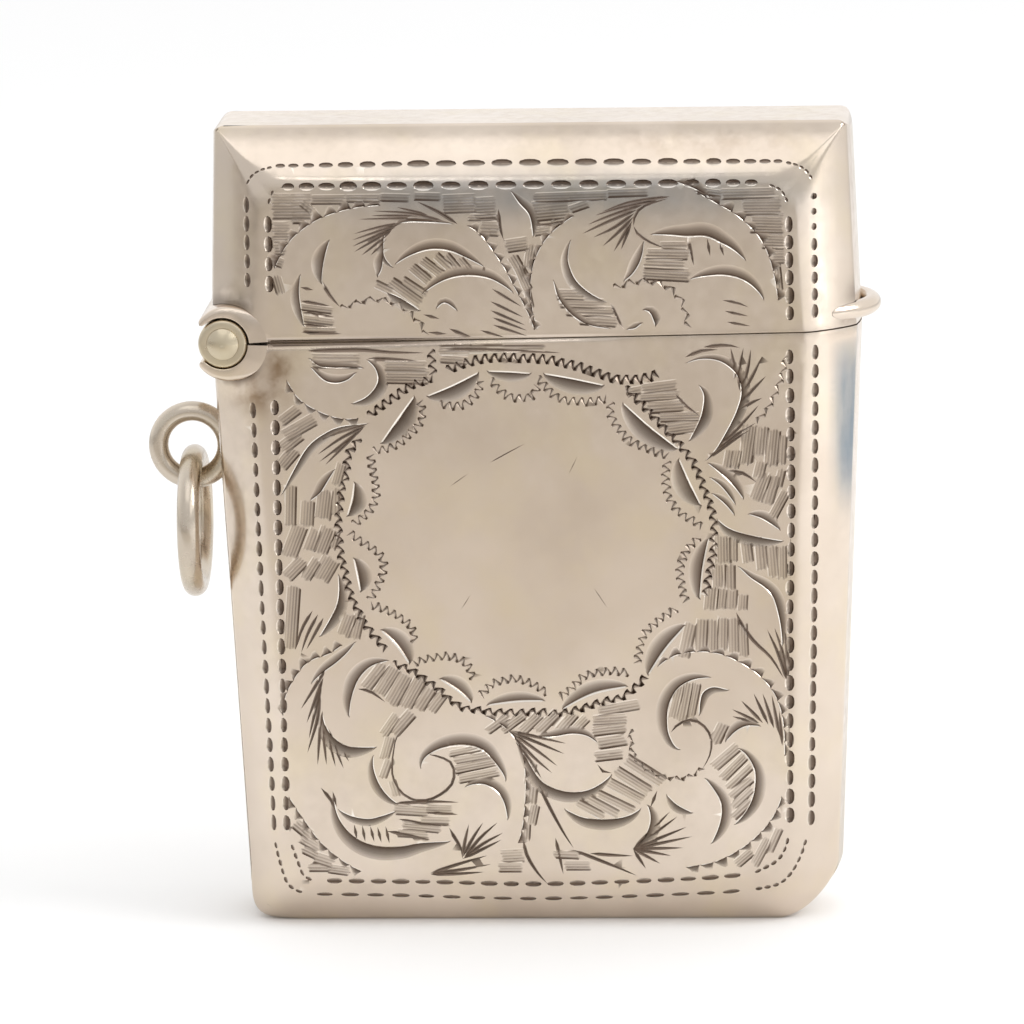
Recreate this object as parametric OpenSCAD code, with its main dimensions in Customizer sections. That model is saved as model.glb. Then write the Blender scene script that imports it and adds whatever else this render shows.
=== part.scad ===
/* [Case] */
// Height of the closed case, from the base to the top face
case_h = 45; // [40:0.5:60]
// Width over the sides at the seam, where the case is widest
seam_w = 36; // [32:0.5:46]
// Narrowing of the width from the seam to the top face
top_taper = 0.9; // [0:0.1:2]
// Narrowing of the width from the seam to the base
base_taper = 2.9; // [0:0.1:4]
// Depth over the front and back panels
case_d = 9.5; // [8.5:0.1:13]
// Depth of the band that runs round the sides, the top and the base
band_d = 5.2; // [4.8:0.1:6]
// Width of the bevel between the band and a panel
bevel_w = 3.1; // [2:0.1:3.4]
// Rise of the bevel's rounding over its chord
bevel_rise = 0.2; // [0.05:0.05:0.3]
// Rise of the rounded side bands
side_rise = 0.25; // [0.05:0.05:0.4]
// Radius of the two lower corners
corner_r = 3.6; // [3.6:0.1:6]
// Thickness of the metal across the lower corners
corner_fill = 1.2; // [0.9:0.1:1.6]
// Wall of both shells
wall = 0.6; // [0.4:0.05:0.8]
// Thickness of the base
base_t = 1; // [0.8:0.05:1.4]

/* [Seam] */
// Height of the seam at the middle of the case
seam_z = 33.4; // [28:0.1:36]
// Rise of the seam from the hinge to the thumb side, in degrees
seam_tilt = 0.8; // [0:0.1:2]
// Gap between the lid and the body when shut
seam_gap = 0.08; // [0.05:0.01:0.15]
// Thickness of the bezel strip inside the mouth
bezel_t = 0.4; // [0.25:0.05:0.6]
// Height of the bezel above the seam
bezel_up = 1.2; // [0.8:0.1:1.6]
// Depth of the bezel below the seam
bezel_down = 3; // [2:0.1:5]
// Clearance between the bezel and the lid
bezel_clear = 0.1; // [0.08:0.01:0.2]
// Solder gap between pieces that are fixed to each other
solder_gap = 0.02; // [0.01:0.01:0.05]

/* [Hinge] */
// Distance of the hinge axis inside the side of the case
hinge_inset = 1; // [0.6:0.05:1.4]
// Length of the row of knuckles
hinge_len = 9; // [7:0.1:9.4]
// Radius of a knuckle
knuckle_r = 1.4; // [1.2:0.05:1.5]
// Gap between neighbouring knuckles
knuckle_gap = 0.06; // [0.04:0.01:0.1]
// Radius of the hinge pin
pin_r = 0.87; // [0.6:0.01:0.95]
// Running clearance round the pin
pin_clear = 0.04; // [0.02:0.01:0.08]
// Height of the domed ends of the pin
pin_dome = 0.3; // [0.15:0.05:0.5]
// Clearance between the knuckles and the bearers they turn in
bearer_clear = 0.07; // [0.05:0.01:0.12]
// Outer radius of the bearers
bearer_r = 2.1; // [2:0.05:2.3]
// Distance of the bearers' outer centre from the hinge axis, into the case
bearer_shift = 0.35; // [0.1:0.05:0.4]
// Angle at which the lid bearer ends, counted from the seam over the top
bearer_end = 140; // [125:1:145]
// Angle to which the lid opens
lid_open = 75; // [60:1:80]
// Spare angle between the two bearers when the lid is open
open_spare = 3; // [2:0.5:6]

/* [Thumb piece] */
// Distance of the ledge's rim behind the plane of the front panel
thumb_inset = 0.65; // [0.3:0.05:1.2]
// Reach of the ledge beyond the side of the case
thumb_reach = 1.05; // [0.6:0.05:1.6]
// Thickness of the ledge
thumb_t = 0.5; // [0.4:0.05:0.8]
// Radius of the bead along its rim
bead_r = 0.5; // [0.4:0.05:0.6]
// Height of the ledge above the seam
thumb_lift = 0.3; // [0.2:0.05:0.8]

/* [Striker] */
// Length of the serrated strip in the base
striker_l = 22; // [14:0.5:23]
// Width of the serrated strip
striker_w = 3.6; // [2.4:0.1:3.8]
// Distance of the serrations inside the base
striker_sink = 0.12; // [0.05:0.01:0.2]
// Width of the flange that seats the strip inside the base
flange_w = 0.4; // [0.2:0.05:0.45]
// Thickness of that flange
flange_t = 0.3; // [0.2:0.05:0.5]
// Spacing of the serrations
rib_pitch = 0.7; // [0.5:0.05:1.2]
// Depth of the serrations
rib_depth = 0.25; // [0.1:0.05:0.35]

/* [Ring] */
// Radius of the hole in the suspension eye
eye_hole_r = 1.37; // [1.3:0.01:1.8]
// Radius of the eye's wire
eye_wire_r = 0.55; // [0.4:0.05:0.6]
// Distance of the eye's centre below the seam
eye_drop = 6.75; // [5.6:0.05:9]
// Distance of the eye's centre outside the side of the case at the seam
eye_out = 1.3; // [1.2:0.05:1.5]
// Outer diameter of the jump ring
ring_d = 8.5; // [8:0.1:12]
// Radius of the jump ring's wire
ring_wire_r = 0.63; // [0.45:0.01:0.65]
// Slack between the jump ring and the eye
ring_slack = 0.06; // [0.04:0.01:0.1]

/* [Hidden] */
$fn = 64;
ARC_STEPS = 5;
SECTOR_STEPS = 6;
KNUCKLES = 5;
SILVER = "#d8d0c2";
SHADED_SILVER = "#b9b0a2";

// Reach of the cutting blocks, past every face of the case
reach = 2 * case_h;
// Width over the sides at the top face and at the base
top_w = seam_w - top_taper;
base_w = seam_w - base_taper;
// Lean of the sides of the body and of the lid
body_lean = atan((seam_w - base_w) / 2 / seam_z);
lid_lean = atan((top_w - seam_w) / 2 / (case_h - seam_z));
// Centre of the rounding of the lower corners
corner_x = base_w / 2 - corner_r / cos(body_lean) + corner_r * tan(body_lean);
// Hinge axis, on the seam
hinge_x = hinge_inset - seam_w / 2;
hinge_z = seam_z + hinge_x * tan(seam_tilt);
knuckle_pitch = hinge_len / KNUCKLES;
channel_r = knuckle_r + bearer_clear;
bezel_notch_r = bearer_r + bearer_shift + bezel_clear;
// Half-moon ledge on the thumb side of the seam
thumb_r = case_d / 2 - thumb_inset;
thumb_x = seam_w / 2 + thumb_reach - thumb_r;
thumb_z = seam_z + seam_w / 2 * tan(seam_tilt) + thumb_lift;
// Eye and ring
eye_x = -seam_w / 2 - eye_out;
eye_z = seam_z - eye_drop;
eye_r = eye_hole_r + eye_wire_r;
ring_r = ring_d / 2 - ring_wire_r;
ring_z = eye_z - eye_r + eye_wire_r + ring_slack + ring_wire_r - ring_r;

// Normal on the right of the way from a to b
function right_normal(a, b) = [b.y - a.y, a.x - b.x] / norm(b - a);

// A corner moved in by t along the mitre of its two normals
function mitred(p, n1, n2, t) = p - t * (n1 + n2) / (1 + n1 * n2);

// Points of an arc from a towards b that rises over its chord on the right
function arc_points(a, b, rise) =
    rise == 0
    ? [a]
    : let (
        chord = norm(b - a),
        radius = (chord * chord / 4 + rise * rise) / (2 * rise),
        n = right_normal(a, b),
        centre = (a + b) / 2 - n * (radius - rise),
        half = asin(chord / 2 / radius)
    )
    [
        for (i = [0 : ARC_STEPS - 1])
        let (angle = half * (2 * i / ARC_STEPS - 1))
        centre + radius * (n * cos(angle) + (b - a) / chord * sin(angle))
    ];

// Section of one edge of the case: a panel, a bevel, the band, a bevel and the other panel.
// The crown of the band is at x = crown, the section runs back to x = crown - back,
// and the whole lies t inside the outer surface.
function edge_section(crown, back, rise, t) =
    let (
        panel_end = [crown - bevel_w, -case_d / 2],
        band_end = [crown - rise, -band_d / 2],
        panel_n = [0, -1],
        bevel_n = right_normal(panel_end, band_end),
        band_n = [1, 0],
        p = mitred(panel_end, panel_n, bevel_n, t),
        b = mitred(band_end, bevel_n, band_n, t),
        b2 = [b.x, -b.y],
        p2 = [p.x, -p.y]
    )
    concat(
        [[crown - back, p.y]],
        arc_points(p, b, bevel_rise),
        arc_points(b, b2, rise),
        arc_points(b2, p2, bevel_rise),
        [p2, [crown - back, p2.y]]
    );

// Points of a sector from angle a to angle b
function sector_points(a, b, radius) =
    concat(
        [[0, 0]],
        [
            for (i = [0 : SECTOR_STEPS])
            let (angle = a + (b - a) * i / SECTOR_STEPS)
            radius * [cos(angle), sin(angle)]
        ]
    );

// Everything inside a side that leans outwards by lean degrees going up
module side_prism(lean, t) {
    translate([seam_w / 2, 0, seam_z])
        rotate([0, lean, 0])
            linear_extrude(2 * reach, center = true)
                polygon(edge_section(0, reach, side_rise, t));
}

// Everything inside both sides
module between_sides(lean, t) {
    intersection() {
        side_prism(lean, t);
        mirror([1, 0, 0])
            side_prism(lean, t);
    }
}

// Body with square lower corners, t inside its outer surface and open towards the lid
module body_block(t) {
    intersection() {
        between_sides(body_lean, t);
        rotate([0, 90, 0])
            linear_extrude(2 * reach, center = true)
                polygon(edge_section(0, reach, 0, t));
    }
}

// Wedge of space outside a lower corner, between the normals of the side and of the base
module corner_wedge() {
    side_n = [cos(body_lean), -sin(body_lean)];
    base_n = [0, -1];
    linear_extrude(2 * case_d, center = true)
        polygon([[0, 0], base_n * reach, (base_n + side_n) * reach, side_n * reach]);
}

// Places what is left out of a lower corner round the corner's centre, on both sides
module at_corners() {
    for (side = [0, 1])
        mirror([side, 0, 0])
            translate([corner_x, 0, corner_r])
                rotate([90, 0, 0])
                    children();
}

// Solid of the body, with its lower corners rounded
module body_form() {
    difference() {
        body_block(0);
        at_corners()
            difference() {
                corner_wedge();
                rotate_extrude()
                    polygon(edge_section(corner_r, corner_r, 0, 0));
            }
    }
}

// Hollow of the body, above the base and with its lower corners cut off straight
module body_hollow() {
    difference() {
        body_block(wall);
        translate([-reach, -reach, base_t - 2 * reach])
            cube(2 * reach);
        at_corners()
            rotate([0, 0, -45])
                translate([corner_r - corner_fill, -reach, -case_d])
                    cube([reach, 2 * reach, 2 * case_d]);
    }
}

// Solid of the lid, t inside its outer surface and open towards the body
module lid_form(t) {
    intersection() {
        between_sides(lid_lean, t);
        translate([0, 0, case_h])
            rotate([0, -90, 0])
                linear_extrude(2 * reach, center = true)
                    polygon(edge_section(0, reach, 0, t));
    }
}

// Block from height z0 to height z1 above the tilted seam
module seam_block(z0, z1) {
    translate([0, 0, seam_z])
        rotate([0, -seam_tilt, 0])
            translate([-reach, -reach, z0])
                cube([2 * reach, 2 * reach, z1 - z0]);
}

// Front half (side = -1) or back half (side = 1) of space
module half_space(side) {
    translate([-reach, side < 0 ? -reach : 0, -reach])
        cube([2 * reach, reach, 3 * reach]);
}

// Places a section drawn in x and z on the hinge axis, extruded over length y
module on_hinge(length, y = 0) {
    translate([hinge_x, y, hinge_z])
        rotate([90, 0, 0])
            linear_extrude(length, center = true)
                children();
}

// Room for both bearers in the shells
module bearer_notch() {
    on_hinge(2 * case_d)
        translate([bearer_shift, 0])
            circle(bearer_r + solder_gap);
}

module striker_window() {
    translate([0, 0, base_t / 2])
        cube([striker_l + 2 * solder_gap, striker_w + 2 * solder_gap, 2 * base_t], center = true);
}

module body_shell() {
    difference() {
        intersection() {
            body_form();
            seam_block(-reach, -seam_gap / 2);
        }
        body_hollow();
        bearer_notch();
        striker_window();
    }
}

module body_front() {
    color(SILVER)
        intersection() {
            body_shell();
            half_space(-1);
        }
}

module body_back() {
    color(SILVER)
        intersection() {
            body_shell();
            half_space(1);
        }
}

// Serrated strip in the base window, with a flange that seats on the floor inside
module striker_plate() {
    ribs = floor(striker_l / rib_pitch) - 1;
    color(SHADED_SILVER)
        difference() {
            union() {
                translate([-striker_l / 2, -striker_w / 2, striker_sink])
                    cube([striker_l, striker_w, base_t + flange_t - striker_sink]);
                translate([-striker_l / 2 - flange_w, -striker_w / 2 - flange_w, base_t])
                    cube([striker_l + 2 * flange_w, striker_w + 2 * flange_w, flange_t]);
            }
            for (i = [0 : ribs])
                translate([(i - ribs / 2) * rib_pitch, 0, striker_sink])
                    rotate([90, 0, 0])
                        linear_extrude(2 * striker_w, center = true)
                            polygon([[-rib_pitch / 3, 0], [0, rib_depth], [rib_pitch / 3, 0], [0, -rib_depth]]);
        }
}

// Inside of the mouth, t further in than the bezel's outer face
module mouth_form(t) {
    intersection() {
        body_block(wall + solder_gap + t);
        lid_form(wall + bezel_clear + t);
    }
}

module mouth_bezel() {
    color(SHADED_SILVER)
        difference() {
            intersection() {
                mouth_form(0);
                seam_block(-bezel_down, bezel_up);
            }
            mouth_form(bezel_t);
            on_hinge(2 * case_d)
                circle(bezel_notch_r);
        }
}

module lid_shell() {
    difference() {
        intersection() {
            lid_form(0);
            seam_block(seam_gap / 2, reach);
        }
        lid_form(wall);
        bearer_notch();
    }
}

module lid_front() {
    color(SILVER)
        intersection() {
            lid_shell();
            half_space(-1);
        }
}

module lid_back() {
    color(SILVER)
        intersection() {
            lid_shell();
            half_space(1);
        }
}

// Section of a bearer between two angles round the hinge axis
module bearer_section(from_angle, to_angle) {
    intersection() {
        difference() {
            translate([bearer_shift, 0])
                circle(bearer_r);
            circle(channel_r);
        }
        polygon(sector_points(from_angle, to_angle, 4 * bearer_r));
    }
}

module body_bearer() {
    color(SILVER)
        intersection() {
            on_hinge(hinge_len)
                bearer_section(bearer_end + lid_open + open_spare, 360 + seam_tilt);
            seam_block(-reach, -seam_gap / 2);
        }
}

module lid_bearer() {
    color(SILVER)
        intersection() {
            on_hinge(hinge_len)
                bearer_section(seam_tilt, bearer_end);
            seam_block(seam_gap / 2, reach);
        }
}

// One tube of the row on the hinge pin, counted from the front
module knuckle(place) {
    color(SILVER)
        on_hinge(knuckle_pitch - knuckle_gap, (place - (KNUCKLES - 1) / 2) * knuckle_pitch)
            difference() {
                circle(knuckle_r);
                circle(pin_r + pin_clear);
            }
}

module body_knuckle_front() {
    knuckle(0);
}

module lid_knuckle_front() {
    knuckle(1);
}

module body_knuckle_middle() {
    knuckle(2);
}

module lid_knuckle_back() {
    knuckle(3);
}

module body_knuckle_back() {
    knuckle(4);
}

// Pin with a domed end at the front and at the back
module hinge_pin() {
    dome_r = (pin_r * pin_r + pin_dome * pin_dome) / (2 * pin_dome);
    color(SILVER)
        translate([hinge_x, 0, hinge_z])
            rotate([90, 0, 0]) {
                cylinder(h = hinge_len, r = pin_r, center = true);
                for (side = [0, 1])
                    mirror([0, 0, side])
                        intersection() {
                            translate([0, 0, hinge_len / 2 + pin_dome - dome_r])
                                sphere(dome_r);
                            translate([0, 0, hinge_len / 2])
                                cylinder(h = 2 * pin_dome, r = 2 * pin_r);
                        }
            }
}

// Half-moon ledge with a beaded rim, on the side of the lid
module thumb_piece() {
    color(SILVER)
        difference() {
            translate([thumb_x, 0, thumb_z])
                rotate_extrude()
                    union() {
                        square([thumb_r - bead_r, thumb_t]);
                        translate([thumb_r - bead_r, bead_r])
                            circle(bead_r);
                    }
            lid_form(-solder_gap);
        }
}

// Wire loop on the side of the body
module suspension_eye() {
    color(SILVER)
        difference() {
            translate([eye_x, 0, eye_z])
                rotate([90, 0, 0])
                    rotate_extrude()
                        translate([eye_r, 0])
                            circle(eye_wire_r);
            body_block(-solder_gap);
        }
}

// Plain wire ring that hangs in the eye
module jump_ring() {
    color(SILVER)
        translate([eye_x, 0, ring_z])
            rotate([0, 90, 0])
                rotate_extrude()
                    translate([ring_r, 0])
                        circle(ring_wire_r);
}

body_front();
body_back();
striker_plate();
mouth_bezel();
body_bearer();
body_knuckle_front();
body_knuckle_middle();
body_knuckle_back();
hinge_pin();
suspension_eye();
jump_ring();
lid_front();
lid_back();
lid_bearer();
lid_knuckle_front();
lid_knuckle_back();
thumb_piece();
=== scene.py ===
"""Looks of a silver vesta case: engraved shells, side hinge, loop with a ring, thumb ledge and striker."""
import math

import bmesh
import bpy
import numpy as np
from mathutils import Matrix, Vector, geometry


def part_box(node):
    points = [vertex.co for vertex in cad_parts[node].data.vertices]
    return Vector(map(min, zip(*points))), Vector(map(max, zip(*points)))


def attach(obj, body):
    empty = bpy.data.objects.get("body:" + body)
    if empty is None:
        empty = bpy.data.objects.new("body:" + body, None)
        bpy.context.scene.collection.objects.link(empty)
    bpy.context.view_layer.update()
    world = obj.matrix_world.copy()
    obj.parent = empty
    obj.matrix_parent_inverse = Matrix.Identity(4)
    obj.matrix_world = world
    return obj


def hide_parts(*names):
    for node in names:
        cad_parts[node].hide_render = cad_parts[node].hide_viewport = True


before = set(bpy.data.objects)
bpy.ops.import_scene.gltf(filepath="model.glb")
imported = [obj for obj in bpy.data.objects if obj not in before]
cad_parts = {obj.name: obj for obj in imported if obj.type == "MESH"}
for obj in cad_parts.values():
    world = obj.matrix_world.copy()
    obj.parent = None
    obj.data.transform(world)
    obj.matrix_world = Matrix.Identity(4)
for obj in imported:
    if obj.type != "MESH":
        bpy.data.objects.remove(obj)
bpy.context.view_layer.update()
MM = 0.001
rng = np.random.default_rng(11)

# Main sizes of the case in millimetres, as in the solids
PANEL = -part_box("body_front")[0].y / MM
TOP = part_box("lid_front")[1].z / MM
SEAM_HALF = 18.0
TOP_HALF = 17.55
BASE_HALF = 16.55
SEAM_Z = 33.4
SEAM_SLOPE = math.tan(math.radians(0.8))
SEAM_GAP = 0.05
BAND = 2.6
BEVEL_W = 3.1
BEVEL_RISE = 0.2
SIDE_RISE = 0.25
CORNER_R = 3.6
PILLOW = 0.1
NOTCH = np.array([-16.65, 33.163])
NOTCH_R = 2.12
HINGE_AT = np.array([-17.0, 33.16263])
KNUCKLE_PITCH = 1.8
BEARER_FACE = 4.6

# Forms of the worn silver that the solids leave plain
TOP_R = 0.8
CORNER_POWER = 5.6
CORNER_FLAT = 0.085
FLAT_POWER = 1.3
WORN_SHARE = 0.05
WORN_DEPTH = 0.09

# Lengths of the short edges round the opening of a shell
CORNER_STEP = 0.2
RIM_STEP = 0.7

LID_SLOPE = (SEAM_HALF - TOP_HALF) / (TOP - SEAM_Z)
BODY_SLOPE = (SEAM_HALF - BASE_HALF) / SEAM_Z
BODY_LEAN = math.atan(BODY_SLOPE)
CORNER_X = BASE_HALF - CORNER_R / math.cos(BODY_LEAN) + CORNER_R * BODY_SLOPE


# The form of the front: how high it stands over the middle plane of the case
def smooth(t):
    """A step from nought to one with level ends: three times the square less twice the cube."""
    return t * t * (3 - 2 * t)


def soft_min(a, b, width):
    """The lower of two heights, with the corner between them rounded over the given width."""
    near = np.maximum(width - np.abs(a - b), 0) / width
    return np.minimum(a, b) - near * near * width / 4


def over_seam(x, z):
    """Height over the middle of the seam, which rises towards the thumb side."""
    return z - SEAM_Z - x * SEAM_SLOPE


def from_notch(x, z):
    """Distance from the round notch in which the hinge lies."""
    return np.hypot(x - NOTCH[0], z - NOTCH[1]) - NOTCH_R


def side_share(x, z, slope_up):
    """Distance in from the side band's edge, as a share of the bevel's width beside it."""
    inset = (SEAM_HALF - np.abs(z - SEAM_Z) * slope_up - np.abs(x)) * math.cos(math.atan(slope_up))
    return (inset - SIDE_RISE) / (BEVEL_W - SIDE_RISE)


def lid_share(x, z):
    """Share of the bevel crossed at a point of the lid: the nearer of side and top, mitred at the outer
    corner and rounded more and more towards the panel."""
    side = side_share(x, z, LID_SLOPE)
    top = (TOP - z) / BEVEL_W
    near = np.maximum(np.minimum(side, top), 0)
    return soft_min(side, top, np.maximum(near * (0.15 + 0.55 * near), 0.001))


def corner_edge(angle, x, band):
    """Reach of a lower corner from its centre at an angle below the level: on the hinge side a power mean
    of the ways to the side and to the base, which is nearly square, and on the thumb side a circle
    flattened as a power of a sine. Also that reach less the side band's rise, which eases to nothing at
    the base."""
    quarter = math.pi / 2 - BODY_LEAN
    turn = np.clip((angle - BODY_LEAN) / quarter, 0, 1)
    angle = BODY_LEAN + turn * quarter
    ways = np.cos(angle - BODY_LEAN) ** CORNER_POWER + np.sin(angle) ** CORNER_POWER
    flat = 1 - CORNER_FLAT * np.maximum(np.sin(math.pi * turn), 0) ** FLAT_POWER
    reach = CORNER_R * np.where(x < 0, ways ** (-1 / CORNER_POWER), flat)
    return reach, reach - SIDE_RISE * band * (1 - smooth(turn))


def body_share(x, z):
    """Share of the bevel crossed at a point of the body: straight along the sides and the base, and
    measured from the corner's centre in the two rounded lower corners."""
    side = side_share(x, z, BODY_SLOPE)
    base = z / BEVEL_W
    out = np.abs(x) - CORNER_X
    down = CORNER_R - z
    reach, edge = corner_edge(np.arctan2(down, out), x, 1)
    corner = (edge - np.hypot(out, down)) / (edge - reach * (1 - BEVEL_W / CORNER_R))
    in_corner = (out > 0) & (np.arctan2(down, np.maximum(out, 1e-9)) > BODY_LEAN)
    return np.where(in_corner, corner, np.minimum(side, base))


def front_height(share, x, z, middle, half):
    """Height of the front: a bevel that bulges as a parabola over its chord, worn as a square law at its
    outer edge, meeting a panel that sinks a little towards its edges as a square law."""
    bend, crease = 0.16, 0.16
    start = 1 - bend
    along = (np.sqrt(start ** 2 + 4 * bend * np.clip(share, -0.4, 1.5)) - start) / (2 * bend)
    bevel = BAND + (PANEL - BAND) * along + 3.2 * BEVEL_RISE * along * (1 - along)
    worn = np.clip(1 - share / WORN_SHARE, 0, 1)
    panel = PANEL - PILLOW * np.minimum((x / 16) ** 2 + ((z - middle) / half) ** 2, 2)
    return soft_min(bevel - WORN_DEPTH * worn * worn, panel, crease)


def soldered(height, share, x, z, left):
    """Solder at the hinge: the front swells towards the level of the bearers, fully on the right and by a
    part on the left, falling off as a bell curve with the distance from the notch and to nothing at the
    side's edge."""
    reach = 0.65
    gap = np.maximum(from_notch(x, z), 0)
    right = smooth(np.clip((x + 15.9) / 1.2, 0, 1))
    part = (left + (1 - left) * right) * smooth(np.clip(share / 0.3, 0, 1))
    return height + np.maximum(BEARER_FACE - 0.02 - height, 0) * part * np.exp(-(gap / reach) ** 2)


def seam_wear(x, z):
    """How far the edge along the seam is worn down: a square law over the last fraction of a millimetre,
    deeper near the hinge."""
    near = np.abs(over_seam(x, z)) - SEAM_GAP
    reach = 0.08 + 0.24 * np.clip((6 - x) / 20, 0, 1)
    return 0.75 * reach * np.clip(1 - near / reach, 0, 1) ** 2 * np.clip((16.5 - x) / 2, 0, 1)


def lid_height(x, z):
    """Height of the lid's front."""
    share = lid_share(x, z)
    return soldered(front_height(share, x, z, 36.5, 7.0), share, x, z, 0.15) - seam_wear(x, z)


def body_height(x, z):
    """Height of the body's front."""
    share = body_share(x, z)
    return soldered(front_height(share, x, z, 18.0, 20.0), share, x, z, 0.2) - seam_wear(x, z)


def spot(x, z, at, reach):
    """A bell curve round a point, with a reach of its own along x and along z."""
    return np.exp(-((x - at[0]) / reach[0]) ** 2 - ((z - at[1]) / reach[1]) ** 2)


def painted_shade_and_dirt(x, z):
    """Darkness as bell curves: along the seam; painted shade under and over the bearers round the hinge,
    with some soiling from solder; and painted shade in the hollow by the thumb ledge.
    """
    near = np.abs(over_seam(x, z)) - SEAM_GAP
    seam = np.clip((2 - x) / 10, 0.15, 1) * np.exp(-(near / 0.2) ** 2)
    gap = from_notch(x, z)
    under = 0.75 * np.exp(-(gap / 0.22) ** 2) * np.clip((-14.6 - x) / 0.8, 0, 1) * (z < SEAM_Z - 1)
    over = 0.6 * np.exp(-(gap / 0.45) ** 2) * np.clip((-15.2 - x) / 0.6, 0, 1) * (z > SEAM_Z + 1)
    ledge = 0.6 * spot(x, z, (17.9, 35.4), (0.7, 0.8)) + 0.5 * spot(x, z, (17.3, 33.95), (0.5, 0.25))
    return np.clip(np.maximum.reduce([seam, under, over, ledge]), 0, 1)


def stains_and_painted_reflection(x, z):
    """Stains and a painted reflection, as bell curves: above nought a blue-grey painted reflection on the
    thumb side below the seam and along the top of the lid's panel, and below nought the brown of old solder
    by the hinge, a brown patch just below the seam by the thumb ledge and a browner stretch of the top
    bevel."""
    # painted reflection: a blue-grey patch on the thumb side below the seam
    side = np.exp(-((x - 17.5) / 0.95) ** 4 - ((z - 28.4) / 4.4) ** 4) * (z < SEAM_Z + 0.2)
    # painted reflection: a blue-grey band along the top of the lid's panel
    top = 0.55 * np.exp(-((x - 2.0) / 12.5) ** 6 - ((z - 41.3) / 1.2) ** 2)
    browner_stretch = 0.3 * np.exp(-((x - 9.5) / 5) ** 4 - ((z - 43.9) / 0.9) ** 2)
    brown = 1.2 * spot(x, z, (-13.8, 32.1), (0.65, 0.9)) + 0.95 * spot(x, z, (-15.1, 30.4), (1.5, 1.1))
    brown = brown + 0.5 * spot(x, z, (17.2, 33.4), (0.9, 0.45))
    return np.clip(side + top - browner_stretch - brown * (z < SEAM_Z), -1, 1)


def lid_room(x, z):
    """Room between a point and the edges of the lid's front."""
    over = over_seam(x, z) - SEAM_GAP
    turn = np.hypot(np.maximum(np.abs(x) - TOP_HALF + TOP_R, 0), np.maximum(z - TOP + TOP_R, 0))
    corner = np.where(z > TOP - TOP_R, TOP_R - turn, TOP_R)
    return np.minimum.reduce([over, from_notch(x, z), lid_share(x, z) * BEVEL_W, corner])


def body_room(x, z):
    """Room between a point and the edges of the body's front."""
    under = -over_seam(x, z) - SEAM_GAP
    return np.minimum.reduce([under, from_notch(x, z), body_share(x, z) * BEVEL_W])


# The engraver's strokes: each is a strip of rows of points (x, z, depth, darkness), where the darkness is
# painted patina and shade and a darkness below nought is a painted highlight on a lip
COMPASS = {"N": (0, 1), "S": (0, -1), "E": (1, 0), "W": (-1, 0),
           "NE": (1, 1), "NW": (-1, 1), "SE": (1, -1), "SW": (-1, -1)}
CUT_STEP = 0.17
EDGE_MARGIN = 0.06
FURROW_PITCH = 0.165
FURROW_DEPTH = 0.016


def lengths_along(curve):
    """Length of the way along a curve to each of its points."""
    return np.concatenate([[0], np.cumsum(np.linalg.norm(np.diff(curve, axis=0), axis=1))])


def points_at(curve, run, at):
    """The points of a curve at given lengths along it."""
    return np.column_stack([np.interp(at, run, curve[:, k]) for k in (0, 1)])


def even_path(points, step):
    """A curve through the points at even steps: between two points it is the cubic whose slope at each
    point is half the chord between its neighbours."""
    p = np.asarray(points, float)
    padded = np.vstack([2 * p[0] - p[1], p, 2 * p[-1] - p[-2]])
    a, b, c, d = (padded[i:len(padded) - 3 + i, None, :] for i in range(4))
    t = np.linspace(0, 1, 12, endpoint=False)[None, :, None]
    square = a - 2.5 * b + 2 * c - d / 2
    cube = 1.5 * b - a / 2 - 1.5 * c + d / 2
    fine = b + t * (c - a) / 2 + t ** 2 * square + t ** 3 * cube
    fine = np.vstack([fine.reshape(-1, 2), p[-1]])
    run = lengths_along(fine)
    return points_at(fine, run, np.linspace(0, run[-1], max(3, int(round(run[-1] / step)) + 1)))


def normals_of(path):
    """Unit vectors square to a path, on its left."""
    way = np.gradient(path, axis=0)
    way /= np.linalg.norm(way, axis=1)[:, None] + 1e-12
    return np.column_stack([-way[:, 1], way[:, 0]])


def strip(path, across, offsets, depths, tones):
    """Rows of points at the given offsets along the vectors across, with their depth and darkness."""
    xz = path[:, None, :] + across[:, None, :] * offsets[..., None]
    return np.concatenate([xz, depths[..., None], tones[..., None]], axis=2)


def turned_to(side, way):
    """The vectors across a stroke, turned to the given point of the compass."""
    return side if np.sum(side @ np.array(COMPASS[way], float)) > 0 else -side


def swelling(count, peak, power):
    """Share of a stroke's full width along it: a power of a sine, nothing at both ends and full at its
    peak."""
    t = np.linspace(0, 1, count) ** (math.log(0.5) / math.log(peak))
    swell = np.sin(math.pi * t) ** power
    swell[[0, -1]] = 0
    return swell


def gouge(width, fade, points, peak=0.5, deep=0.22, full=0.7, lip=0.045):
    """A bright cut: a lip along the drawn curve painted bright as a highlight, a steep wall inside it
    painted dark as patina and shade, and a gentle rise to the fade side; its width swells as a sine from
    nothing at one end, over its peak, to nothing at the other."""
    path = even_path(points, CUT_STEP)
    side = turned_to(normals_of(path), fade)
    swell = 1.3 * width * swelling(len(path), peak, full)
    edge = np.minimum(lip, 0.25 * swell)
    rest = swell - edge
    offsets = np.column_stack([0 * edge, edge, edge + 0.08 * rest, edge + 0.55 * rest, swell])
    depths = 0.8 * deep * swell[:, None] * np.array([0, 0.25, 1, 0.45, 0])
    # painted highlight on the lip (below nought), painted dark in the wall and fading to the far edge
    tones = np.tile([-0.9, -0.9, 1, 0.66, 0.03], (len(path), 1))
    return strip(path, side, offsets, depths, tones)


def gouges(width, fade, *curves):
    """Several bright cuts of one width that fade the same way."""
    return [gouge(width, fade, c) for c in curves]


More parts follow.
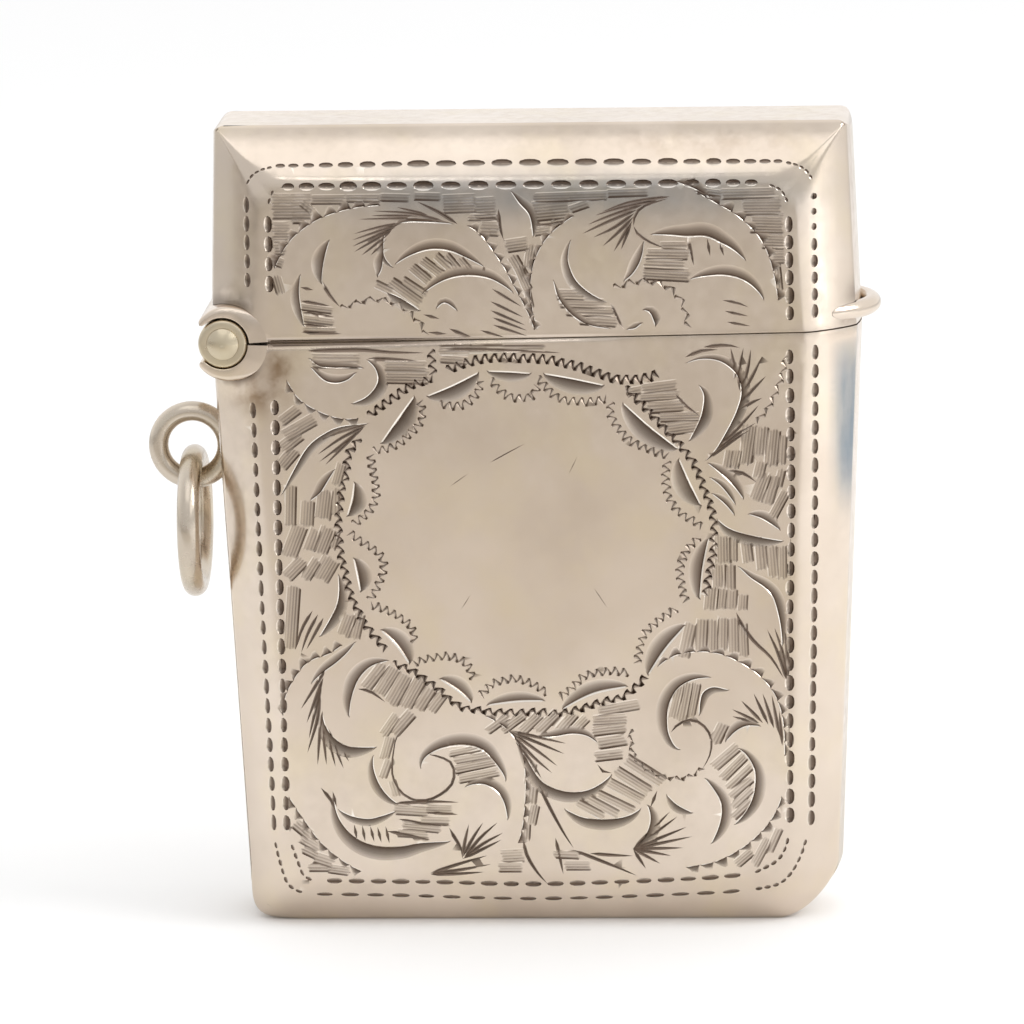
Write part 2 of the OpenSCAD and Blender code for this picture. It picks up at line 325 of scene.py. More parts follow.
def line(width, points, peak=0.3, step=0.45):
    """A fine V cut centred on the drawn curve, swelling and thinning as a sine."""
    path = even_path(points, step)
    swell = 0.88 * width * swelling(len(path), peak, 0.6)
    offsets = swell[:, None] * np.array([-0.5, 0, 0.5])
    depths = swell[:, None] * np.array([0, 0.3, 0])
    tones = np.tile([0.85, 1, 0.75], (len(path), 1))
    return strip(path, normals_of(path), offsets, depths, tones)


def lines(width, *curves):
    """Several fine cuts of one width."""
    return [line(width, c) for c in curves]


def wedge(start, end, width, dark):
    """A pricked cut: broad just after its start and drawn out to a thin end."""
    path = start + np.array([0, 0.15, 0.5, 1])[:, None] * (end - start)
    swell = width * np.array([0, 1, 0.55, 0])
    offsets = swell[:, None] * np.array([-0.5, 0, 0.5])
    depths = swell[:, None] * np.array([0, 0.35, 0])
    return strip(path, normals_of(path), offsets, depths, np.tile(dark * np.array([0.6, 1, 0.6]), (4, 1)))


def wriggle(points, pitch=0.24, reach=0.5, width=0.25, dark=0.75):
    """Zig-zag work of a rocked tool: wedge cuts from one side of a curve to the other and back."""
    path = even_path(points, pitch)
    turn = np.where(np.arange(len(path)) % 2 == 0, 0.5, -0.5)[:, None]
    corner = path + normals_of(path) * turn * reach * rng.uniform(0.85, 1.15, (len(path), 1))
    widths = width * rng.uniform(0.8, 1.15, len(path))
    return [wedge(p, q, w, dark) for p, q, w in zip(corner[:-1], corner[1:], widths)]


def band(x0, z0, x1, z1, width, dark="E"):
    """One stroke of a many-toothed tool: a straight band of fine furrows side by side with ragged ends,
    painted dark as patina and shade in its furrows and along one edge, fading to the other edge, which
    carries a painted highlight."""
    start, end = np.array((x0, z0), float), np.array((x1, z1), float)
    way = (end - start) / np.linalg.norm(end - start)
    path = np.array([start - way * 0.1, start, (start + end) / 2, end, end + way * 0.12])
    side = turned_to(np.tile([-way[1], way[0]], (5, 1)), dark)
    width = 1.5 * width + 0.06
    furrows = max(2, int(round(width / FURROW_PITCH)))
    across = np.linspace(0.5, -0.5, 2 * furrows + 1)
    low = np.arange(2 * furrows + 1) % 2
    depths = np.tile(0.003 + low * FURROW_DEPTH, (5, 1))
    depths[[0, -1]] = 0
    depths[:, [0, -1]] = 0
    shade = (0.3 + 0.7 * low) * (1 - 0.7 * (0.5 - across))
    shade[:2] = 1
    # a painted highlight along the far edge
    shade[-1] = -0.6
    along = np.array([0.5, 1, 0.95, 0.85, 0.2]) * rng.uniform(0.85, 1.1)
    tones = np.clip(along[:, None] * shade, -1, 1)
    rows = strip(path, side, np.tile(width * across, (5, 1)), depths, tones)
    ragged = rng.uniform(-0.07, 0.1, (2, 2 * furrows + 1, 1))
    rows[:2, :, :2] -= ragged[0] * way
    rows[3:, :, :2] += ragged[1] * way
    return rows


def bands(dark, *rows):
    """Several furrowed bands that are dark on the same side."""
    return [band(*row, dark) for row in rows]


def bites(points, fade, pitch=0.8, width=0.46):
    """The edge of a leaf: a row of short cuts that bite away the ground outside it, each deepest near its
    end."""
    steps = 4
    path = even_path(points, pitch / steps)
    sizes = width * rng.uniform(0.75, 1.2, len(path))
    starts = range(0, len(path) - steps, steps)
    return [gouge(sizes[i], fade, path[i:i + steps + 1], 0.68, 0.24, 0.6, 0.03) for i in starts]


def pit(middle, half, width, fade):
    """An oval punched cut with a rounded floor, painted darkest a little off its middle as patina and
    shade, and painted bright as a highlight along its edge on the fade side.
    """
    t = np.array([-1, -0.86, -0.45, 0, 0.45, 0.86, 1])
    path = middle + t[:, None] * half
    side = turned_to(np.tile([-half[1], half[0]] / np.linalg.norm(half), (7, 1)), fade)
    swell = width * (1 - np.abs(t) ** 2.6) ** 0.5
    offsets = swell[:, None] * np.array([-0.5, -0.3, 0, 0.3, 0.5])
    depths = 0.26 * swell[:, None] * np.array([0, 0.8, 1, 0.6, 0])
    return strip(path, side, offsets, depths, np.tile([0.85, 1, 0.92, 0.5, -0.5], (7, 1)))


def dashes(points, pitch=1.06, length=0.84, width=0.4, fade="N", shrink=0.0):
    """A border of short oval cuts along a curve, at steps that may shrink towards both of its ends."""
    step, end_reach = 0.1, 9
    path = even_path(points, step)
    run = np.linspace(0, 1, len(path)) * lengths_along(path)[-1]
    near = np.clip(np.minimum(run, run[-1] - run) / end_reach, 0, 1)
    size = 1 - shrink * (1 - near) ** 1.5
    count = np.concatenate([[0], np.cumsum(step / pitch / size[1:])])
    number = int(round(count[-1]))
    at = np.interp((np.arange(number) + 0.5) / number * count[-1], count, run)
    middle = points_at(path, run, at)
    way = points_at(np.gradient(path, axis=0), run, at)
    way /= np.linalg.norm(way, axis=1)[:, None]
    local = np.interp(at, run, size)
    half = way * (length * local * rng.uniform(0.47, 0.56, number))[:, None]
    wide = width * np.minimum(local + 0.2, 1) * rng.uniform(0.85, 1.1, number)
    return [pit(p, h, w, fade) for p, h, w in zip(middle, half, wide)]


def scallop(edge, width, inner):
    """One bay of the shield's border: a broad facet that is sharp along its outer edge and fades to the
    shield, with zig-zag work along the bulge of the bay."""
    inward = np.array(SHIELD) - np.array(edge[1])
    inward /= np.linalg.norm(inward)
    fade = max(COMPASS, key=lambda k: np.dot(COMPASS[k], inward) / np.linalg.norm(COMPASS[k]))
    return [gouge(0.9 * width, fade, edge, 0.5, 0.16, 0.55, 0.08)] + wriggle(inner)


# Strokes of the lid
LID_STROKES = [
    *gouges(0.55, "W", [(-10.9, 39), (-11.2, 38), (-11.35, 37.2), (-11.4, 36.5)]),
    *gouges(0.42, "W", [(-12.55, 37.1), (-12.65, 36.2), (-12.6, 35.4), (-12.4, 34.1)],
        [(-7.95, 38.5), (-8, 37.9), (-8.1, 37.3), (-8.35, 36.85)],
        [(2.3, 38.9), (2.15, 38.2), (2.15, 37.6), (2.5, 36.7), (3.2, 36), (4.2, 35.4)],
        [(6.3, 38.8), (6.2, 38.1), (6, 37.5), (5.6, 36.9), (5.1, 36.5)]),
    *gouges(0.3, "W", [(-7.85, 39.4), (-7.95, 38.7), (-7.9, 38), (-7.45, 37.4)]),
    *gouges(0.5, "N",
        [(-7.4, 37.55), (-6.5, 38.05), (-5.5, 38.35), (-4.5, 38.3), (-3.6, 37.95), (-2.5, 37.4)],
        [(-6, 35.85), (-5.2, 36.4), (-4.4, 36.75), (-3.4, 36.9), (-2.3, 36.75), (-1.5, 36.35),
        (-0.9, 35.9)], [(8.7, 36.6), (9.5, 36.75), (10.5, 36.8), (11.3, 36.65), (11.9, 36.35), (12.4, 35.9),
        (12.75, 35.4)]),
    gouge(0.62, "N", [(6.6, 39.1), (7.6, 39.05), (8.6, 38.95), (9.6, 38.95), (10.4, 38.6), (11.1, 38.2),
        (11.8, 37.6)]),
    *gouges(0.28, "N", [(-5.2, 35.05), (-4.7, 35.4), (-4, 34.95)],
        [(-7.6, 39.6), (-6.8, 39.88), (-5.6, 39.88), (-4.1, 39.78)],
        [(5.2, 33.85), (5.7, 33.9), (6.15, 34.25)]),
    gouge(0.45, "S", [(-7.9, 36.1), (-7.2, 35.8), (-6.4, 35.3), (-6, 35)]),
    *gouges(0.4, "E", [(-1, 41.6), (-0.55, 40.9), (0, 40.2), (0.2, 39)],
        [(6.1, 34.95), (6.5, 34.75), (6.8, 34)]),
    gouge(0.34, "NE",
        [(1.25, 36.7), (1.4, 35.9), (1.7, 35.3), (2.2, 34.7), (2.9, 34.2), (3.6, 34), (4.4, 33.9)]),
    gouge(0.4, "N", [(8, 42), (9, 41.6), (9.9, 41.1)]),
    *lines(0.26, [(-11.4, 36.7), (-11.15, 36.15), (-10.85, 35.7), (-10.45, 35.25)],
        [(-4.5, 34), (-3.9, 33.75), (-3.3, 33.55)], [(-1.65, 40.6), (-1.6, 39.7), (-1.4, 38.9)],
        [(-3.9, 39.8), (-5, 40.5), (-6.1, 41.05)], [(-12.6, 36.35), (-11.9, 36.2)],
        [(-12.6, 35.6), (-11, 35.3)], [(-12.5, 34.95), (-10.8, 34.7)], [(-12.6, 34.3), (-10.9, 34.1)],
        [(-12.6, 33.85), (-10.4, 33.75)], [(-5.7, 33.8), (-4.6, 33.7)], [(-5.9, 34.8), (-5, 34.55)]),
    *lines(0.21, [(-4.6, 39.95), (-6.5, 40.4), (-8.5, 40.55)], [(-4.9, 40), (-7, 40.12), (-9.3, 40.1)],
        [(-6.8, 39.9), (-8.2, 39.65), (-9.6, 39.3)], [(-7.1, 39.8), (-9.7, 38.95)],
        [(-7.3, 39.65), (-9.7, 38.6)], [(-7.5, 39.5), (-9.6, 38.3)], [(-7.65, 39.3), (-9.2, 38.1)],
        [(-7.8, 39), (-8.7, 38.1)], [(-5.5, 40.3), (-7.2, 40.75)], [(-6.2, 40.25), (-8.6, 40.3)]),
    *lines(0.2, [(-2.8, 33.9), (-1.5, 33.5)], [(-2.1, 34.2), (-0.2, 33.55)], [(-2.1, 34.6), (-0.2, 33.85)],
        [(-2.2, 35), (-0.3, 34.15)], [(-2.2, 35.5), (-0.4, 34.6)], [(-2.1, 36.2), (-0.5, 35.2)]),
    *lines(0.19, [(4.35, 35.4), (4.6, 34.9), (4.9, 34.2), (5.35, 33.5)],
        [(5.7, 39.6), (5.9, 39.2), (6.5, 38.75), (7.4, 38.35)],
        [(5.7, 39.6), (5.8, 40.2), (6.3, 40.7), (7.6, 41.1)], [(10.5, 35.45), (11.3, 35.3), (11.9, 35.05)],
        [(10.6, 34.85), (11.9, 34.55)], [(10.7, 34.25), (12, 34)]),
    *lines(0.24, [(8.65, 38.95), (8.8, 38.2), (8.95, 37.4)], [(9.7, 38.9), (9.85, 37.9)],
        [(10.35, 38.75), (10.6, 37.9)], [(7.7, 41.2), (5.5, 40.9), (4, 40.4)],
        [(7, 41), (5, 40.6), (3.6, 40.2)], [(6.2, 40.75), (4.5, 40.2), (3.2, 39.7)],
        [(5.9, 40.5), (4.2, 39.8), (2.9, 39.2)], [(5.75, 40.3), (4.6, 39.5), (3.5, 39)],
        [(5.7, 40.1), (4.9, 39.3), (4, 38.5)], [(5.65, 39.9), (5.2, 39.2), (4.6, 38.2)],
        [(5.6, 39.7), (5.35, 39.2), (5, 38.3)], [(0.2, 39.65), (1.2, 39.75), (2.1, 40)]),
    *bands("S", (-13.95, 40.85, -12, 40.85, 0.95), (-13.95, 39.4, -13.25, 39.4, 0.8),
        (-13.9, 38.6, -13.5, 38.6, 0.6), (-11.8, 41.2, -10.1, 41.2, 0.35), (-9.9, 41.25, -8.2, 41.25, 0.3),
        (-12.9, 40.1, -12.4, 40.1, 0.3), (-4.6, 40.9, -3, 40.95, 0.7), (-2.9, 40.65, -1.9, 40.7, 0.8),
        (-3.2, 40.15, -1.9, 40.15, 0.25), (-2.6, 39.55, -1.75, 39.5, 0.55), (-1.2, 38.55, -0.2, 38.7, 0.5),
        (0.3, 40.45, 2.1, 40.6, 0.75), (0.35, 41.2, 4.2, 41.3, 0.35), (0.3, 39.35, 1, 39.45, 0.35),
        (2.3, 40.55, 3.2, 40.85, 0.3), (11.7, 40.65, 13.6, 40.65, 0.7), (12.2, 39.75, 13.7, 39.7, 0.8),
        (12.8, 38.8, 13.75, 38.75, 0.7), (13.3, 37.9, 13.8, 37.9, 0.6), (10.6, 41.3, 13.3, 41.35, 0.4),
        (9.3, 41.5, 10.4, 41.35, 0.25), (6.3, 37, 8.6, 36.85, 0.5), (6.35, 37.55, 8.3, 37.45, 0.45),
        (6.5, 38.05, 8.6, 38, 0.4), (7.2, 38.5, 8.5, 38.5, 0.3), (1.5, 35.85, 2.9, 35.8, 0.4),
        (1.7, 35.4, 4, 35.3, 0.4), (2.1, 34.95, 4.4, 34.85, 0.4), (2.8, 34.45, 4.6, 34.3, 0.4),
        (-12.5, 35.25, -11, 35.05, 0.25), (-12.4, 34.6, -10.9, 34.4, 0.25), (-12.4, 34, -10.8, 33.95, 0.2),
        (-13.9, 36.9, -13.7, 36.1, 0.35), (-8, 41.3, -6.6, 41.25, 0.3), (-6.2, 41.35, -4.9, 41.3, 0.3),
        (-12.4, 41, -11.9, 40.6, 0.3), (4.4, 41.4, 6.4, 41.45, 0.3), (-13.9, 37.8, -13.6, 37.7, 0.35)),
    *bands("NE", (-7.6, 36.6, -6.1, 35.5, 0.4), (-6.9, 36.7, -5.8, 35.95, 0.3),
        (-8.4, 36.5, -7.6, 36.1, 0.3)),
    *bands("E", (-0.9, 37.9, -0.35, 36.9, 0.4), (-0.6, 37.3, -0.15, 36.2, 0.35),
        (0.1, 38.6, -0.1, 37.4, 0.35), (-0.2, 36.2, 0, 35.2, 0.25), (-6.4, 37.4, -5.6, 36.7, 0.35),
        (-5.8, 37.75, -4.9, 37.05, 0.35), (-5.1, 38.05, -4.4, 37.4, 0.3), (-4.5, 38, -4, 37.4, 0.3),
        (-3.8, 37.85, -3.3, 37.25, 0.25), (13.5, 37.2, 13.6, 36.1, 0.25)),
    *bites([(-14, 37.4), (-13.4, 38.5), (-12.7, 39.3), (-11.6, 40.05), (-10.4, 40.5), (-9.2, 40.75),
        (-7.9, 40.85)], "NW"),
    *bites([(-3.4, 39.7), (-2.7, 39.2), (-2.1, 38.4), (-1.4, 37.3), (-0.9, 36.3), (-0.4, 35.3), (0, 34.4),
        (0.2, 33.7)], "NE", 0.7, 0.38),
    *wriggle([(-10.4, 35.2), (-9.6, 35.45), (-8.6, 35.65), (-7.6, 35.5), (-6.7, 34.95), (-6.1, 34.3),
        (-5.7, 33.6)], 0.4, 0.3, 0.3),
    *wriggle([(4.6, 36.2), (5.3, 36.45), (6.3, 36.55), (7.2, 36.4), (7.9, 35.9), (8.3, 35.3), (8.5, 34.6),
        (8.6, 33.9)], 0.4, 0.36, 0.28),
    *bites([(9, 41.5), (10.1, 40.85), (11.2, 40.2), (12.1, 39.4), (12.7, 38.6), (13.1, 37.6), (13.35, 36.5),
        (13.5, 35.4)], "NE"),
    *bites([(0.35, 33.9), (0.1, 35.2), (0.05, 36.6), (0.35, 37.9), (1, 39), (1.9, 39.8), (3, 40.5)], "NW",
        0.8, 0.36),
    *dashes([(-14.3, 36), (-14.3, 40.4)], fade="W", width=0.5),
    *dashes([(-13.6, 41.92), (0, 41.92), (12.6, 41.92)], 1.5, 1.12, 0.5, "S", 0.4),
    *dashes([(-14.25, 40.9), (-14.1, 41.4), (-13.9, 41.8)], 0.4, 0.3, 0.18, "E"),
    *dashes([(13.1, 41.8), (13.75, 41.45), (14.1, 40.8)], 0.34, 0.3, 0.18, "W"),
    *dashes([(14.15, 40.1), (14.15, 34.2)], fade="W", width=0.5),
    *dashes([(-15.55, 36.2), (-15.5, 41.4)], fade="W"),
    *dashes([(-13.9, 43), (0, 43.05), (13.9, 43)], 1.55, 1.15, 0.38, "S", 0.6),
    *dashes([(-15.45, 42), (-15.1, 42.5), (-14.6, 42.8), (-14, 42.95)], 0.38, 0.28, 0.18, "E"),
    *dashes([(14, 42.95), (14.6, 42.8), (15.1, 42.5), (15.45, 42)], 0.38, 0.28, 0.18, "W"),
    *dashes([(15.5, 41.5), (15.5, 39)], 0.72, 0.36, 0.34, "W"),
    *dashes([(15.5, 38.9), (15.5, 34.3)], 0.95, 0.72, 0.42, "W"),
]

# Strokes of the body, and first the bays round its shield: outer edge, width and inner edge
SHIELD = (-0.4, 22.2)
SCALLOPS = [
    ([(-8.45, 27.6), (-7.5, 28.95), (-6.5, 30.3)], 0.85,
        [(-8.8, 27.2), (-7.7, 27.4), (-6.9, 28), (-6.3, 28.6), (-6.05, 29.3), (-6.2, 30)]),
    ([(-5.85, 30.25), (-4.4, 30.85), (-2.9, 31.6)], 0.75,
        [(-5.1, 29.8), (-4.5, 29.65), (-3.8, 29.7), (-3.3, 30.1), (-2.9, 30.6), (-2.8, 31.1)]),
    ([(-2.5, 31.65), (-1.2, 31.6), (0, 31.5)], 0.5,
        [(-2.3, 31.1), (-1.8, 30.55), (-1.3, 30.15), (-0.6, 30.1), (0, 30.2), (0.3, 30.8)]),
    ([(0.6, 31.5), (2.2, 31.2), (4, 30.8)], 0.75,
        [(0.3, 31.2), (0.9, 30.5), (1.5, 30.05), (2.3, 29.9), (3.2, 29.85), (4.1, 30)]),
    ([(4.95, 29.85), (6.4, 28.5), (8, 27.2)], 0.85,
        [(4.3, 29.8), (4.3, 29.1), (4.7, 28.3), (5.3, 27.65), (6, 27.3), (6.8, 27), (7.4, 26.8)]),
    ([(8, 26.7), (8.55, 25.4), (9.2, 24)], 0.85,
        [(7.3, 26.5), (7.25, 25.7), (7.3, 24.9), (7.5, 24.2), (8, 23.6), (8.6, 23.2), (9.2, 22.8)]),
    ([(9.6, 22.2), (9.25, 20.5), (9.05, 18.7)], 0.7,
        [(9, 22.2), (8.4, 21.6), (8, 20.8), (7.95, 20), (8.1, 19.2), (8.3, 18.6)]),
    ([(8.3, 17.3), (7.1, 15.9), (6.1, 14.4)], 0.8,
        [(7.7, 18.2), (6.9, 17.7), (6.2, 17.1), (5.8, 16.5), (5.6, 15.8), (5.5, 15.1)]),
    ([(5, 13.8), (3, 13.35), (1.3, 12.5)], 0.7,
        [(5, 14.6), (4, 14.7), (3.2, 14.6), (2.4, 14.3), (1.8, 13.7), (1.2, 13.2)]),
    ([(0.4, 13), (-1.2, 12.95), (-2.9, 12.75)], 0.55,
        [(0.5, 13.5), (-0.3, 14), (-1.1, 14.3), (-1.9, 14.2), (-2.7, 13.9), (-3.2, 13.3)]),
    ([(-3.7, 12.9), (-4.5, 13.6), (-5.5, 14.3)], 0.7,
        [(-3.6, 14.3), (-3.9, 15.1), (-4.5, 15.5), (-5.2, 15.6), (-6.1, 15.45), (-6.9, 15.2)]),
    ([(-7.1, 15.1), (-7.85, 16.2), (-8.7, 17.1)], 0.8,
        [(-6.8, 16.4), (-6.9, 17.2), (-7.3, 17.6), (-7.9, 18), (-8.5, 18.3), (-9.2, 18.5)]),
    ([(-9.75, 19.2), (-9.9, 20.1), (-10.1, 21.2)], 0.75, [(-9.2, 18.8), (-8.9, 19.3), (-8.6, 19.9),
        (-8.4, 20.6), (-8.5, 21.2), (-9, 21.7), (-9.6, 22.1), (-10.3, 22.6)]),
    ([(-10.4, 23.5), (-10.1, 24.5), (-9.95, 25.5)], 0.75,
        [(-10, 23.1), (-9.3, 23.6), (-9, 24), (-8.75, 24.6), (-8.75, 25.4), (-8.9, 26.2), (-9, 27)]),
]
BODY_STROKES = [s for bay in SCALLOPS for s in scallop(*bay)] + [
    *gouges(0.5, "E", [(-9.1, 32.3), (-8.65, 31.8), (-8.5, 31.2), (-8.7, 30.7), (-9.2, 30.2), (-10, 29.85)],
        [(9.1, 30.75), (9.35, 30.2), (9.3, 29.5), (9.1, 28.8), (8.5, 27.6)],
        [(5.9, 7.1), (6.05, 6.5), (6, 5.9), (5.75, 5.3), (5.2, 4.6)],
        [(10.9, 10.3), (11.4, 9.9), (11.8, 9.2), (11.9, 8.5), (11.75, 7.5), (11.3, 6.6), (10.7, 5.9)],
        [(9.1, 8.6), (9.6, 7.9), (9.95, 7.2), (10, 6.5), (9.8, 5.7), (9.4, 4.8)],
        [(-10.95, 20.3), (-10.95, 19.3), (-11.1, 18.5), (-11.5, 17.7), (-12.1, 16.7)]),
    *gouges(0.42, "N", [(-12.3, 32.4), (-11.7, 31.9), (-10.9, 31.8), (-10, 31.8), (-9.2, 31.8)],
        [(-12.2, 31.9), (-11.5, 31.15), (-10.8, 30.95), (-10.1, 31.15), (-9.6, 31.6)], [(8.4, 31.95),
        (9.3, 32.15), (10.2, 32.05), (10.9, 31.6), (11.3, 31), (11.4, 30.2), (11.1, 29.2), (10.6, 28.2),
        (10, 27.2), (9.4, 26.5)], [(11.7, 23.5), (12.5, 23.2), (13.5, 22.55)],
        [(10.3, 10.6), (10.9, 11.2), (11.5, 11.5), (12.3, 11.5)],
        [(-0.2, 10.95), (0.8, 10.95), (1.8, 11.1), (2.6, 11), (3.25, 10.6)]),
    *gouges(0.45, "NE", [(9.5, 26.4), (10.2, 25.8), (10.9, 25.1), (11.5, 24.3)],
        [(-4.2, 8.1), (-3.6, 8.25), (-3, 8.2), (-2.4, 7.8), (-2.05, 7.2), (-1.85, 6.2)], [(11.1, 20.6),
        (11.8, 19.9), (12.5, 19.4), (12.95, 18.9), (13.2, 18.2), (13.4, 17.2), (13.5, 16)]),
    *gouges(0.3, "NE", [(9.6, 25.6), (10.3, 25), (11.05, 24)], [(9.7, 24.7), (10.4, 24.1), (11, 23.4)]),
    *gouges(0.5, "S", [(10, 23.3), (10.6, 22.8), (11.3, 22.5), (12.3, 22.25), (13.7, 22)], [(-1.2, 10.6),
        (-0.6, 9.6), (0, 8.6), (0.6, 8.15), (1.6, 7.85), (2.6, 7.95), (3.4, 8.35), (4, 8.85)],
        [(1.3, 6.9), (2.2, 6.45), (3, 6.3), (4, 6.3), (4.9, 6.5), (5.6, 6.9)]),
    gouge(0.62, "S", [(-11.5, 7.7), (-11.3, 6.6), (-10.8, 5.7), (-10, 5.05), (-9, 4.75), (-7.8, 4.75),
        (-6.7, 4.95), (-5, 5.05)]),
    *gouges(0.35, "S",
        [(-9, 28.75), (-10.5, 28.6), (-11.5, 28.2), (-12.5, 27.4), (-13.4, 25.9), (-14, 24.7)],
        [(-11.3, 6.9), (-10.5, 6.5), (-9.6, 6.35), (-8.9, 6.5), (-8, 6.8)],
        [(10.6, 13.6), (9.7, 13.8), (9.1, 13.5), (8.9, 12.9), (8.85, 12.1)],
        [(7, 7.7), (7.6, 7.1), (8.5, 6.6)]),
    *gouges(0.55, "W",
        [(-8.2, 15.35), (-9.2, 15), (-9.9, 14.3), (-10.25, 13.5), (-10.4, 12.9), (-10.5, 12.1)],
        [(9.6, 14.3), (8.6, 14.15), (7.8, 13.7), (7.3, 12.9), (7.15, 12.1), (7.2, 11.2), (7.5, 10.5),
        (7.85, 10.2)]),
    *gouges(0.4, "W", [(-10.9, 26.2), (-11.4, 25.4), (-11.8, 24.8), (-12.4, 24.35)],
        [(-9.2, 10), (-9.2, 9.2), (-8.9, 8.3), (-8.4, 7.6), (-7.8, 7.1)],
        [(-10, 16.45), (-10.5, 15.8), (-11.15, 15.2), (-11.9, 14.65), (-12.6, 14)]),
    gouge(0.55, "SW",
        [(-12, 12.4), (-11.8, 11.6), (-11.3, 10.9), (-10.6, 10.5), (-9.9, 10.45), (-9, 10.45)]),
    gouge(0.62, "N", [(-6.6, 9.15), (-6.4, 9.7), (-5.9, 10.1), (-5, 10.4), (-4, 10.45), (-3.2, 10.2),
        (-2.6, 9.6), (-2.1, 8.9), (-1.9, 8.4)]),
    *lines(0.22, [(-9.1, 28.7), (-11.2, 28.05), (-12.3, 27.3)], [(-9.2, 28.6), (-10.6, 27.9), (-11.9, 27)],
        [(-9.3, 28.5), (-10.6, 27.5), (-11.8, 26.6)], [(-9.5, 28.4), (-10.6, 27.3), (-11.5, 26.4)],
        [(-12.4, 18.2), (-13, 17.2), (-13.4, 16)], [(-12.1, 18), (-12.7, 16.9), (-13.1, 15.8)],
        [(-11.8, 17.8), (-12.3, 16.9), (-12.8, 16)], [(7.8, 30.3), (8.4, 29.6), (9.2, 29)],
        [(-10, 13.75), (-9.3, 13.6), (-8.5, 13)], [(3.2, 9.4), (3.5, 9), (4, 8.9)]),
    *lines(0.26, [(11.35, 30.4), (11.35, 31.6), (11.6, 32.8)], [(11.4, 30.3), (11.8, 31.6), (12, 32.7)],
        [(11.4, 30.1), (12.1, 31.3), (12.6, 32.3)], [(11.35, 29.7), (12, 30.4), (12.8, 31.2)],
        [(11.25, 29.3), (11.9, 29.7), (12.6, 30)], [(10.2, 27.4), (11.2, 28.3), (12.4, 29.6)],
        [(10, 27.1), (11.2, 28), (12.2, 28.6)], [(9.5, 26.6), (10.9, 27.6), (12, 28.3)],
        [(11.2, 31.2), (11, 32.2), (10.9, 32.8)], [(8.4, 32.3), (9.3, 32.65), (10.2, 32.7)],
        [(9.4, 32.85), (10.6, 32.95), (11.4, 32.8)], [(10.6, 25.95), (11.5, 25.8), (12.2, 25.3)],
        [(11, 18), (11.3, 17.3), (12, 16.3), (12.9, 15.4), (13.6, 14.2)],
        [(13.8, 14), (13.3, 15.6), (12.7, 17)], [(13.8, 14.2), (13.5, 15.8), (13.1, 17.1)],
        [(13.85, 14.4), (13.75, 16), (13.6, 17.3)]),
    *lines(0.24, [(-11.7, 15), (-12.3, 14), (-13.2, 12.6)], [(-11.9, 14.4), (-12.4, 13.1), (-12.9, 11.8)],
        [(-12, 14), (-12.4, 12.5), (-12.8, 10.9)], [(-12.1, 13.5), (-12.3, 12), (-12.9, 10.1)],
        [(-12, 12.5), (-12.2, 11), (-12.35, 9.4)], [(-12, 12), (-11.95, 10.8), (-11.85, 9.4)],
        [(-11.9, 11.8), (-11.6, 10.5), (-11.35, 9.3)], [(-11.7, 11.5), (-11.3, 10.3), (-10.9, 9.2)],
        [(-11.2, 10.8), (-10.6, 9.6)], [(-12.2, 8.1), (-11.6, 7.3), (-11.4, 6.4)],
        [(-11.55, 7.9), (-11.35, 7)]),
    *lines(0.24, [(-8.2, 7.2), (-6, 7.3), (-4.5, 7.25)], [(-6.3, 6.7), (-4.6, 6.55)],
        [(-7.9, 6.3), (-6.4, 6), (-5, 5.9)], [(-8.6, 5.6), (-7.4, 5.4), (-6.2, 5.1)],
        [(-5.1, 5.8), (-4.8, 5.2), (-4.45, 4.6), (-4.4, 4)], [(-4.4, 4.2), (-4.2, 5.2), (-4, 6)],
        [(-4.4, 4.1), (-3.8, 5.2), (-3.2, 6.1)], [(-4.3, 4.1), (-3.4, 5.2), (-2.4, 6.1)],
        [(-4.3, 4.1), (-3.2, 4.9), (-2.1, 5.5)], [(-4.4, 4), (-3.2, 4.6), (-2.2, 5.1)],
        [(-6.2, 3.2), (-4.5, 3.75), (-3, 4.2)], [(-6.2, 3.15), (-4.4, 3.4), (-2.8, 3.7)],
        [(-6.2, 3.1), (-4.6, 3.15), (-3.2, 3.25)], [(-10.4, 6), (-10.25, 5.1)], [(-9.95, 5.95), (-9.8, 5)],
        [(-9.5, 5.9), (-9.3, 5)], [(-9.1, 5.85), (-8.9, 4.95)], [(-8.65, 5.9), (-8.45, 4.9)]),
    *lines(0.2, [(-6.2, 10), (-5.5, 9.85), (-4.9, 9.5), (-4.75, 8.9), (-4.9, 8.3), (-5.4, 7.8), (-6.2, 7.4),
        (-7, 7.4), (-7.7, 7.8), (-8.15, 8.6), (-8.2, 9.4), (-8.1, 10.2), (-7.9, 11), (-7.3, 11.8)],
        [(7.3, 11.2), (7.7, 11.65), (8.3, 11.9), (8.9, 11.75), (9.4, 11.2), (9.55, 10.6), (9.4, 9.8),
        (9, 9.1)]),
    *lines(0.24, [(-1.6, 11.3), (-0.2, 10.7), (1.4, 10)], [(-1.5, 11.2), (0, 10.1), (1, 9.3)],
        [(-1.4, 11), (-0.3, 9.8), (0.7, 8.9)], [(-1.6, 11.35), (0, 10.95), (1.5, 10.6)],
        [(-1.3, 10.7), (-0.5, 9.6), (0.1, 8.6)], [(1.8, 4.5), (3, 4), (4.2, 3.5), (5.3, 3)],
        [(0.8, 5.2), (1, 4.2), (1.2, 3.1)], [(-0.2, 8.6), (0.4, 7.2), (1.2, 5.6), (1.8, 4.6)],
        [(-1, 5.1), (-0.8, 4.2), (-0.3, 3.3), (0.3, 2.5)], [(6.5, 7.9), (6.1, 6.9)]),
    *lines(0.24, *[[(5.1, 4.55), tip] for tip in ((7.2, 6.7), (7.6, 6.4), (8.1, 5.8), (8.4, 5.25),
